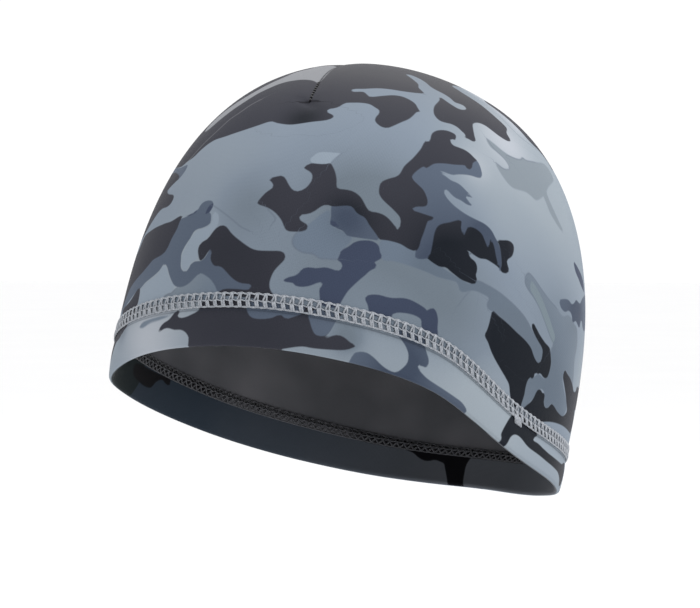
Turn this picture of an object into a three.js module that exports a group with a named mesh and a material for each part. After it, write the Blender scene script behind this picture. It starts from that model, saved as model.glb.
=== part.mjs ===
// Helmet liner cap: a thin stretch-cloth skull cap with a doubled hem band and a flatlock seam.
// It has the form that it takes on a head: high over the forehead, low at the nape, hollow inside.
// Millimetres, +Z up, the wearer's front along -Y and the wearer's left along +X.
// The origin is the middle of the opening, where the cap sits round the head.

import * as THREE from "three";

// Dome, measured in the cap's own frame: its axis runs from the middle of the opening to the top
const FRONT_REACH = 99; // axis to the outside of the front, at the widest level
const BACK_REACH = 93; // axis to the outside of the back
const HALF_BREADTH = 78; // axis to the outside over each ear
const CROWN_HEIGHT = 141; // opening to the top, along the axis
const WIDEST_LEVEL = 23; // opening to the widest level
const CROWN_SET_BACK = 5.5; // how far the top lies behind the axis
const TILT_DEG = 18; // the opening's tilt: high at the forehead, low at the nape
const RIM_WAVE = 8; // how far the opening's edge rises above its own mean plane

// Cloth, hem and seam
const CLOTH = 1; // one layer
const BAND_LAYERS = 2; // the hem band is folded double
const BAND_WIDTH = 13.5; // folded edge to the seam's lower side
const SEAM_WIDTH = 5.8; // the flatlock ribbon of thread
const THREAD_HEIGHT = 0.7; // how far the ribbon stands up
const THREAD_BEVEL = 0.8; // how far its sides slope
const GAP = 0.3; // between pieces that touch on the real cap

// Dart over the top, placed in plan from the axis
const DART_TIP_FRONT = 75; // the front tip's distance in front of the axis
const DART_TIP_SIDE = 17; // and to the wearer's left of it, because the cap sits a little turned
const DART_TIP_BACK = 72; // the back tip's distance behind the axis
const DART_DEPTH = 1.1; // how deep the seam draws the cloth in
const DART_GROOVE = 16; // width of that groove, side to side
const DIMPLE_DEPTH = 1.8; // the pucker just in front of the front tip
const DIMPLE_REACH = 13;
const DIMPLE_AHEAD = 4; // how far in front of the tip its middle lies

// Form factors without a unit: superellipse powers (2 is an ellipse, more is squarer)
// and the share by which each side closes in from the widest level to the opening
const PLAN_POWER = 2.15;
const SIDES = {
  front: { power: 2.5, closing: 0.04 },
  back: { power: 2.2, closing: 0.06 },
  breadth: { power: 2.45, closing: -0.04 },
};
const DART_BEND = 2.4; // how fast the dart comes back to the middle line towards the top

// Height of the opening's edge round the head, as shares of RIM_WAVE, in even steps:
// it is raised over the forehead and the wearer's left temple and dips behind the left ear
const RIM_ROWS = [
  { azimuth: -180, share: -0.06 },
  { azimuth: -150, share: -0.06 },
  { azimuth: -120, share: -0.06 },
  { azimuth: -90, share: -0.06 },
  { azimuth: -60, share: -0.06 },
  { azimuth: -30, share: -0.1 },
  { azimuth: 0, share: 0.56 },
  { azimuth: 30, share: 1 },
  { azimuth: 60, share: 0.87 },
  { azimuth: 90, share: -0.56 },
  { azimuth: 120, share: -0.87 },
  { azimuth: 150, share: -0.54 },
];

// Mesh steps
const AROUND = 64;
const CROWN_ROWS = 26;
const FOLD_STEPS = 4;
const BAND_ROWS = 3;
const MEASURE_STEPS = 400;
const ARC_STEPS = 8;
const AZIMUTH_STEP = 0.01;
const HEIGHT_STEP = 0.05;

const BAND_THICKNESS = BAND_LAYERS * CLOTH;
const JOINT = BAND_WIDTH + SEAM_WIDTH / 2; // folded edge to the joint of crown and band
const FULL_TURN = 2 * Math.PI;
const smoothStep = (share) => THREE.MathUtils.smoothstep(share, 0, 1);

// Reach of one side at a height above the opening: closing in below the widest level, domed above
function reachAt(reach, side, height) {
  if (height < WIDEST_LEVEL) {
    const below = (WIDEST_LEVEL - height) / WIDEST_LEVEL;
    return reach * (1 - side.closing * below * below);
  }
  const above = (height - WIDEST_LEVEL) / (CROWN_HEIGHT - WIDEST_LEVEL);
  return reach * (1 - Math.min(above, 1) ** side.power) ** (1 / side.power);
}

// Point of the smooth outside: azimuth 0 is the front, a quarter turn on is the wearer's left
function outsidePoint(azimuth, height) {
  const ahead = Math.cos(azimuth);
  const aside = Math.sin(azimuth);
  const length =
    ahead >= 0
      ? reachAt(FRONT_REACH, SIDES.front, height)
      : reachAt(BACK_REACH, SIDES.back, height);
  const breadth = reachAt(HALF_BREADTH, SIDES.breadth, height);
  const setBack = CROWN_SET_BACK * Math.max(height / CROWN_HEIGHT, 0) ** 2;
  const radius =
    (Math.abs(ahead / length) ** PLAN_POWER + Math.abs(aside / breadth) ** PLAN_POWER) **
    (-1 / PLAN_POWER);
  return new THREE.Vector3(radius * aside, setBack - radius * ahead, height);
}

function outsideNormal(azimuth, height) {
  const turned = outsidePoint(azimuth + AZIMUTH_STEP, height).sub(
    outsidePoint(azimuth - AZIMUTH_STEP, height),
  );
  const raised = outsidePoint(azimuth, height).sub(outsidePoint(azimuth, height - HEIGHT_STEP));
  return turned.cross(raised).normalize();
}

// Height of the opening's edge at an azimuth: a smooth closed curve through the table's rows
function rimHeight(azimuth) {
  const count = RIM_ROWS.length;
  const place = ((azimuth / FULL_TURN + 0.5) * count + count) % count;
  const row = Math.floor(place);
  const t = place - row;
  const [before, from, to, after] = [-1, 0, 1, 2].map(
    (step) => RIM_ROWS[(row + step + count) % count].share,
  );
  const share =
    from +
    (t / 2) *
      (to - before + t * (2 * before - 5 * from + 4 * to - after + t * (3 * (from - to) + after - before)));
  return RIM_WAVE * share;
}

// Height of the point that lies a length of cloth above the edge, measured up the wall
function heightAlong(azimuth, length) {
  let height = rimHeight(azimuth);
  for (let i = 0; i < ARC_STEPS; i += 1) {
    const [here, above] = [0, HEIGHT_STEP].map((step) => outsidePoint(azimuth, height + step));
    height += ((length / ARC_STEPS) * HEIGHT_STEP) / here.distanceTo(above);
  }
  return height;
}

// How deep the dart and its dimple draw the cloth in at a point of the crown
function dartDepth(point) {
  const forward = THREE.MathUtils.clamp(-point.y / DART_TIP_FRONT, 0, 1);
  const seamSide = DART_TIP_SIDE * forward ** DART_BEND;
  const pastTip = Math.max(-point.y - DART_TIP_FRONT, point.y - DART_TIP_BACK, 0);
  const offSeam = Math.hypot(point.x - seamSide, pastTip);
  const groove = DART_DEPTH * smoothStep(1 - offSeam / (DART_GROOVE / 2));
  const offDimple = Math.hypot(
    point.x - DART_TIP_SIDE,
    point.y + DART_TIP_FRONT + DIMPLE_AHEAD,
  );
  const dimple = DIMPLE_DEPTH * smoothStep(1 - offDimple / DIMPLE_REACH);
  return point.z > WIDEST_LEVEL ? Math.max(groove, dimple) : 0;
}

// Shares of the crown's height that give rows an even length of cloth apart up the side
function evenShares(rows) {
  const shareAt = (step) => Math.sin(((Math.PI / 2) * step) / MEASURE_STEPS);
  const sidePoint = (step) => {
    const height = THREE.MathUtils.lerp(JOINT, CROWN_HEIGHT, shareAt(step));
    return new THREE.Vector2(reachAt(HALF_BREADTH, SIDES.breadth, height), height);
  };
  const lengths = [0];
  for (let i = 1; i <= MEASURE_STEPS; i += 1) {
    lengths.push(lengths[i - 1] + sidePoint(i).distanceTo(sidePoint(i - 1)));
  }
  return Array.from({ length: rows }, (_, row) => {
    const wanted = (lengths[MEASURE_STEPS] * row) / rows;
    return shareAt(lengths.findIndex((length) => length >= wanted));
  });
}

// Rings of points round the head, from a function of the azimuth
const ringOf = (pointAt) =>
  Array.from({ length: AROUND }, (_, i) => pointAt((FULL_TURN * i) / AROUND - Math.PI));

// Surface between one ring and the next; a ring of a single point closes a dome
function surfaceThrough(rings) {
  const triangles = [];
  for (let k = 0; k + 1 < rings.length; k += 1) {
    const [low, high] = [rings[k], rings[k + 1]];
    for (let i = 0; i < AROUND; i += 1) {
      const next = (i + 1) % AROUND;
      if (low.length > 1) triangles.push([low[i], low[next], high[next % high.length]]);
      if (high.length > 1) triangles.push([low[i % low.length], high[next], high[i]]);
    }
  }
  const positions = triangles.flat().flatMap((point) => point.toArray());
  return new THREE.BufferGeometry().setAttribute(
    "position",
    new THREE.Float32BufferAttribute(positions, 3),
  );
}

// A ring of cloth or thread whose section is a list of corners, each a length up the wall
// from the folded edge and a distance out from the outside, listed outer side upwards
function ringSolid(corners) {
  const rings = corners.map(({ up, out }) =>
    ringOf((azimuth) => {
      const height = heightAlong(azimuth, up);
      return outsidePoint(azimuth, height).addScaledVector(outsideNormal(azimuth, height), out);
    }),
  );
  return surfaceThrough([...rings, rings[0]]);
}

// One layer of cloth from the joint to the top, hollow below
function crownSolid() {
  const shares = evenShares(CROWN_ROWS);
  const wall = (inward) =>
    shares.map((share) =>
      ringOf((azimuth) => {
        const edge = heightAlong(azimuth, JOINT + GAP / 2);
        const height = THREE.MathUtils.lerp(edge, CROWN_HEIGHT, share);
        const point = outsidePoint(azimuth, height);
        const depth = dartDepth(point) + inward;
        return point.addScaledVector(outsideNormal(azimuth, height), -depth);
      }),
    );
  const top = (inward) => {
    const point = new THREE.Vector3(0, CROWN_SET_BACK, CROWN_HEIGHT);
    point.z -= dartDepth(point) + inward;
    return [point];
  };
  const outside = [...wall(0), top(0)];
  const inside = [...wall(CLOTH), top(CLOTH)].reverse();
  const edge = [inside[inside.length - 1], outside[0]];
  const sheets = [outside, inside, edge].map((rings) =>
    surfaceThrough(rings).getAttribute("position").array,
  );
  return new THREE.BufferGeometry().setAttribute(
    "position",
    new THREE.Float32BufferAttribute(sheets.flatMap((sheet) => [...sheet]), 3),
  );
}

// The doubled band: a round fold at the bottom and a cut top edge at the joint
function bandSolid() {
  const top = JOINT - GAP / 2;
  const fold = BAND_THICKNESS / 2;
  const rows = Array.from({ length: BAND_ROWS + 1 }, (_, i) =>
    THREE.MathUtils.lerp(fold, top, i / BAND_ROWS),
  );
  const outer = rows.map((up) => ({ up, out: 0 }));
  const inner = rows.map((up) => ({ up, out: -BAND_THICKNESS })).reverse();
  const bottom = Array.from({ length: FOLD_STEPS - 1 }, (_, i) => {
    const angle = Math.PI * (1 + (i + 1) / FOLD_STEPS);
    return { up: fold * (1 + Math.sin(angle)), out: fold * (Math.cos(angle) - 1) };
  });
  return ringSolid([...outer, ...inner, ...bottom]);
}

const SEAM_TOP = BAND_WIDTH + SEAM_WIDTH;

// The ribbon of thread that lies over the joint outside
function outerSeamSolid() {
  return ringSolid([
    { up: BAND_WIDTH, out: GAP },
    { up: BAND_WIDTH + THREAD_BEVEL, out: GAP + THREAD_HEIGHT },
    { up: SEAM_TOP - THREAD_BEVEL, out: GAP + THREAD_HEIGHT },
    { up: SEAM_TOP, out: GAP },
  ]);
}

// The looper thread inside: it steps from the doubled band to the single layer of the crown
function innerSeamSolid() {
  const overBand = -BAND_THICKNESS - GAP;
  const overCrown = -CLOTH - GAP;
  return ringSolid([
    { up: BAND_WIDTH, out: overBand },
    { up: JOINT + GAP, out: overBand },
    { up: SEAM_TOP, out: overCrown },
    { up: SEAM_TOP - THREAD_BEVEL, out: overCrown - THREAD_HEIGHT },
    { up: BAND_WIDTH + THREAD_BEVEL, out: overBand - THREAD_HEIGHT },
  ]);
}

const PIECES = [
  { name: "crown", solid: crownSolid, colour: 0x8b97a6, roughness: 0.85 },
  { name: "hem_band", solid: bandSolid, colour: 0x7d8998, roughness: 0.85 },
  { name: "flatlock_seam_outer", solid: outerSeamSolid, colour: 0xb9bcc0, roughness: 0.7 },
  { name: "flatlock_seam_inner", solid: innerSeamSolid, colour: 0x2f3136, roughness: 0.7 },
];

const cap = new THREE.Group();
cap.name = "helmet_liner_cap";
cap.rotation.x = -THREE.MathUtils.degToRad(TILT_DEG);
for (const { name, solid, colour, roughness } of PIECES) {
  const material = new THREE.MeshStandardMaterial({ color: colour, roughness, metalness: 0 });
  const mesh = new THREE.Mesh(solid(), material);
  mesh.name = name;
  cap.add(mesh);
}

export default cap;
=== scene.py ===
# %% [markdown]
# # A helmet liner cap
# The cap is a thin stretch-cloth dome with a folded hem band, sewn together with a flatlock seam.
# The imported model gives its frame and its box. This script makes the cloth fine enough to take its
# print, lays every thread of the seam, and sets a floor, soft light and the photograph's camera.

import math
from collections import namedtuple

import bpy
import numpy as np
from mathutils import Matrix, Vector
from mathutils.bvhtree import BVHTree


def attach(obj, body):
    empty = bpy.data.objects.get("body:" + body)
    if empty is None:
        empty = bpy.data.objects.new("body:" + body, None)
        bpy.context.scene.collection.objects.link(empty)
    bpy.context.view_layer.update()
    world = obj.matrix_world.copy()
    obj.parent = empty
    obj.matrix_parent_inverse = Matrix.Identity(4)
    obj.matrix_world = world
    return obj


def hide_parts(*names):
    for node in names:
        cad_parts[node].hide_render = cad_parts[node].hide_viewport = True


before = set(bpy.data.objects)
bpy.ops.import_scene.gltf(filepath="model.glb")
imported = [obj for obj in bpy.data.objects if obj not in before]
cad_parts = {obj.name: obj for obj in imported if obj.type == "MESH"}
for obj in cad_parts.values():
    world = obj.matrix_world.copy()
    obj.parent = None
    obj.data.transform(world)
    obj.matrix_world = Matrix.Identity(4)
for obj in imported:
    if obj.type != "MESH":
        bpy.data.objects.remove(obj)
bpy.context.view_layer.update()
print("CAD nodes:", sorted(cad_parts))

# %% [markdown]
# ## The form that the cloth takes on a head
# A stretched cap has no shape of its own: it follows the head. So one formula gives the whole outside,
# as a point for each azimuth round the head and each height above the opening. The sizes are those of
# the CAD model, in millimetres, in the cap's own frame, whose axis leans back with the opening.

# %% Sizes of the cap
FRONT_REACH = 99
BACK_REACH = 93
HALF_BREADTH = 78
CROWN_HEIGHT = 141
WIDEST_LEVEL = 23
CROWN_SET_BACK = 5.5
TILT_DEG = 18
RIM_WAVE = 8
PLAN_POWER = 2.15
FRONT_POWER, FRONT_CLOSING = 2.5, 0.04
BACK_POWER, BACK_CLOSING = 2.2, 0.06
SIDE_POWER, SIDE_CLOSING = 2.45, -0.04

# Height of the opening's edge every 30 degrees from the back, as shares of its wave
RIM_SHARES = np.array([-0.06, -0.06, -0.06, -0.06, -0.06, -0.1, 0.56, 1, 0.87, -0.56, -0.87, -0.54])

CLOTH = 1.0
BAND_WIDTH = 13.5
SEAM_WIDTH = 5.8
GAP = 0.3
BUTT = 0.03
JOINT = BAND_WIDTH + SEAM_WIDTH / 2
SEAM_TOP = BAND_WIDTH + SEAM_WIDTH

MM = 0.001
FULL_TURN = 2 * math.pi
ARC_STEPS = 8
AZIMUTH_STEP = 0.01
HEIGHT_STEP = 0.05
print("cap in its own frame, mm:", 2 * HALF_BREADTH, "x", FRONT_REACH + BACK_REACH, "x", CROWN_HEIGHT)


# %% The outside of the cap as a formula
def reach_at(reach, power, closing, height):
    """How far one side stands off the axis at a height."""
    below = np.clip((WIDEST_LEVEL - height) / WIDEST_LEVEL, 0, None)
    above = np.clip((height - WIDEST_LEVEL) / (CROWN_HEIGHT - WIDEST_LEVEL), 0, 1)
    reach_there = reach * (1 - closing * below**2) * (1 - above**power) ** (1 / power)
    return np.maximum(reach_there, 1e-6)


def set_back(height):
    """How far the section at a height has moved back from the axis."""
    return CROWN_SET_BACK * (np.clip(height, 0, None) / CROWN_HEIGHT) ** 2


def outside_point(azimuth, height):
    """Point of the smooth outside: azimuth 0 is the front, a quarter turn on is the wearer's left."""
    azimuth, height = np.broadcast_arrays(azimuth, height)
    ahead, aside = np.cos(azimuth), np.sin(azimuth)
    front = reach_at(FRONT_REACH, FRONT_POWER, FRONT_CLOSING, height)
    back = reach_at(BACK_REACH, BACK_POWER, BACK_CLOSING, height)
    side = reach_at(HALF_BREADTH, SIDE_POWER, SIDE_CLOSING, height)
    length = np.where(ahead >= 0, front, back)
    total = np.abs(ahead / length) ** PLAN_POWER + np.abs(aside / side) ** PLAN_POWER
    radius = total ** (-1 / PLAN_POWER)
    return np.stack([radius * aside, set_back(height) - radius * ahead, height], axis=-1)


def outside_normal(azimuth, height):
    """Direction straight out of the cloth."""
    turned = outside_point(azimuth + AZIMUTH_STEP, height) - outside_point(azimuth - AZIMUTH_STEP, height)
    raised = outside_point(azimuth, height) - outside_point(azimuth, height - HEIGHT_STEP)
    across = np.cross(turned, raised)
    return across / np.linalg.norm(across, axis=-1, keepdims=True)


def rim_height(azimuth):
    """Height of the opening's edge: a smooth closed curve through the table."""
    count = len(RIM_SHARES)
    place = (np.asarray(azimuth) / FULL_TURN + 0.5) * count
    row = np.floor(place).astype(int)
    t = place - row
    before, here, there, after = (RIM_SHARES[(row + step) % count] for step in (-1, 0, 1, 2))
    bend = 2 * before - 5 * here + 4 * there - after + t * (3 * (here - there) + after - before)
    return RIM_WAVE * (here + (t / 2) * (there - before + t * bend))


def height_along(azimuth, length):
    """Height of the point that lies a length of cloth up the wall from the edge."""
    height = rim_height(azimuth) + 0.0 * np.asarray(length)
    for _ in range(ARC_STEPS):
        step = outside_point(azimuth, height + HEIGHT_STEP) - outside_point(azimuth, height)
        height = height + (length / ARC_STEPS) * HEIGHT_STEP / np.linalg.norm(step, axis=-1)
    return height


def on_wall(azimuth, up, out):
    """Point a length of cloth up from the edge and a distance out from the outside."""
    azimuth, up, out = np.broadcast_arrays(azimuth, up, out)
    height = height_along(azimuth, up)
    return outside_point(azimuth, height) + out[..., None] * outside_normal(azimuth, height)


TILT = math.radians(TILT_DEG)
CAP_TO_WORLD = np.array(
    [
        [1, 0, 0],
        [0, math.cos(TILT), math.sin(TILT)],
        [0, -math.sin(TILT), math.cos(TILT)],
    ]
)


def to_world(points):
    """From the cap's leaning frame in millimetres to the world in metres."""
    return points @ CAP_TO_WORLD.T * MM


front_edge = to_world(on_wall(0.0, 0.0, 0.0))
print("front edge of the opening, metres:", np.round(front_edge, 4))

# %% [markdown]
# ## The camera
# The print is charted as the photograph shows it, so the camera comes first: the same camera that takes
# the picture also casts each charted point onto the cloth. It stands to the wearer's front left, almost
# level with the opening, about a metre away.

# %% Camera
PHOTO_WIDTH, PHOTO_HEIGHT = 700, 608
VIEW_AZIMUTH_DEG = 39.85
VIEW_ELEVATION_DEG = 0.83
VIEW_DISTANCE = 971
AIM = np.array([-4.5, 10.3, 48.4])
FOCAL_PIXELS = 2528
SENSOR = 36

azimuth = math.radians(VIEW_AZIMUTH_DEG)
elevation = math.radians(VIEW_ELEVATION_DEG)
TOWARDS_CAMERA = np.array(
    [
        math.sin(azimuth) * math.cos(elevation),
        -math.cos(azimuth) * math.cos(elevation),
        math.sin(elevation),
    ]
)
PICTURE_RIGHT = np.array([math.cos(azimuth), math.sin(azimuth), 0])
PICTURE_UP = np.cross(TOWARDS_CAMERA, PICTURE_RIGHT)
CAMERA_PLACE = AIM + VIEW_DISTANCE * TOWARDS_CAMERA

camera_data = bpy.data.cameras.new("camera")
camera_data.sensor_width = SENSOR
camera_data.lens = FOCAL_PIXELS / PHOTO_WIDTH * SENSOR
camera_data.clip_start = 0.05
camera_data.clip_end = 50
camera = bpy.data.objects.new("camera", camera_data)
camera.location = CAMERA_PLACE * MM
camera.rotation_mode = "QUATERNION"
camera.rotation_quaternion = Vector(-TOWARDS_CAMERA).to_track_quat("-Z", "Y")
bpy.context.scene.collection.objects.link(camera)
bpy.context.scene.camera = camera
print("lens, mm:", round(camera_data.lens, 1))

# %% [markdown]
# ## A flat chart of the dome
# A print needs a flat map to be drawn on. Here the top of the cap is the chart's middle, the direction
# is the azimuth, and the distance is the length of cloth down the side. Each point of the cap has one
# place on it. The camera's rays find that place for a point charted in the photograph's frame.

# %% From the cap to the chart and back
LOWEST_LEVEL = -40.0
CHART_ROWS = 500
chart_heights = CROWN_HEIGHT - (CROWN_HEIGHT - LOWEST_LEVEL) * np.linspace(0, 1, CHART_ROWS) ** 2
side_run = np.stack([reach_at(HALF_BREADTH, SIDE_POWER, SIDE_CLOSING, chart_heights), chart_heights], axis=1)
chart_reaches = np.concatenate([[0], np.cumsum(np.linalg.norm(np.diff(side_run, axis=0), axis=1))])


def to_chart(azimuth, height):
    """Place on the chart of a point of the cap."""
    reach = np.interp(-height, -chart_heights, chart_reaches)
    return np.stack([reach * np.sin(azimuth), -reach * np.cos(azimuth)], axis=-1)


def from_chart(place):
    """Azimuth and height of a place on the chart."""
    reach = np.hypot(place[..., 0], place[..., 1])
    return np.arctan2(place[..., 0], -place[..., 1]), np.interp(reach, chart_reaches, chart_heights)


def polar(azimuth_deg, reach):
    """Place on the chart from an azimuth in degrees and a length of cloth down from the top."""
    turn = np.radians(azimuth_deg)
    return np.array([reach * np.sin(turn), -reach * np.cos(turn)])


side_length = np.interp(0, -chart_heights, chart_reaches)
print("length of cloth from the top to the opening at the side, mm:", round(float(side_length), 1))

# %% Rays from the camera to the cap
NET_AROUND, NET_ROWS = 240, 110
SKIRT = 14.0
FOLDED_BAND = 2 * CLOTH
JUST_UNDER_TOP = CROWN_HEIGHT - 1e-4
PICTURE_MIDDLE = np.array([350.0, 260.0])


def ring_faces(first, around, rows, closed=False):
    """Faces between rows of points that each run round the head."""
    faces = []
    for row in range(rows if closed else rows - 1):
        low, high = first + row * around, first + (row + 1) % rows * around
        for i in range(around):
            j = (i + 1) % around
            faces.append((low + i, low + j, high + j, high + i))
    return faces


net_azimuths = np.linspace(-math.pi, math.pi, NET_AROUND, endpoint=False)
net_low = height_along(net_azimuths, -SKIRT)
net_shares = np.sin(np.linspace(0, 0.5 * math.pi, NET_ROWS))
net_heights = net_low[None, :] + (CROWN_HEIGHT - net_low[None, :]) * net_shares[:, None]
net_heights = np.minimum(net_heights, JUST_UNDER_TOP)
net_points = to_world(outside_point(net_azimuths[None, :], net_heights))
net_faces = ring_faces(0, NET_AROUND, NET_ROWS)
net = BVHTree.FromPolygons([Vector(p) for p in net_points.reshape(-1, 3)], net_faces)

# The far wall is seen from inside, where the band's inner face lies two layers of cloth in
net_normals = outside_normal(net_azimuths[None, :], net_heights)
inner_points = net_points - FOLDED_BAND * MM * net_normals @ CAP_TO_WORLD.T
inner_net = BVHTree.FromPolygons([Vector(p) for p in inner_points.reshape(-1, 3)], net_faces)


def cast(pixel, far_wall):
    """Where the camera's ray through a point of the picture meets the near or the far wall."""
    right, down = pixel
    aim = right - PHOTO_WIDTH / 2
    rise = PHOTO_HEIGHT / 2 - down
    ray = Vector(-TOWARDS_CAMERA + (PICTURE_RIGHT * aim + PICTURE_UP * rise) / FOCAL_PIXELS)
    start = Vector(CAMERA_PLACE * MM) + ray * (VIEW_DISTANCE * MM * (1 if far_wall else 0))
    return (inner_net if far_wall else net).ray_cast(start, ray)[0]


def land(pixels, far_wall=False):
    """Chart places of points charted in the picture; one just off the cap is drawn in to its edge."""
    places = []
    for pixel in np.asarray(pixels, float):
        met = cast(pixel, far_wall)
        while met is None:
            pixel = pixel + (PICTURE_MIDDLE - pixel) / np.linalg.norm(PICTURE_MIDDLE - pixel)
            met = cast(pixel, far_wall)
        x, y, z = np.array(met) / MM @ CAP_TO_WORLD
        places.append(to_chart(np.arctan2(x, set_back(z) - y), z))
    return np.array(places)


DART_TIP_PIXEL = (308.7, 100.2)
print("dart's tip on the chart, mm:", np.round(land([DART_TIP_PIXEL])[0], 1))

# %% [markdown]
# ## The printed pattern
# The cloth carries an ordinary woodland camouflage in cold greys: pale ground, then shapes of mist,
# slate, navy and charcoal laid over each other. Each shape is charted with the few points that
# it needs. Points that the picture shows are in its own frame, right and down; points beyond its edge
# are an azimuth in degrees and a length of cloth down from the top. A smooth closed curve joins them.

# %% How a shape of the print is written down
Shape = namedtuple("Shape", "tone seen beyond")


def shape(tone, seen=(), beyond=()):
    """A printed shape, from points seen in the picture and points charted beyond its edge."""
    return Shape(tone, list(seen), list(beyond))


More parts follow.
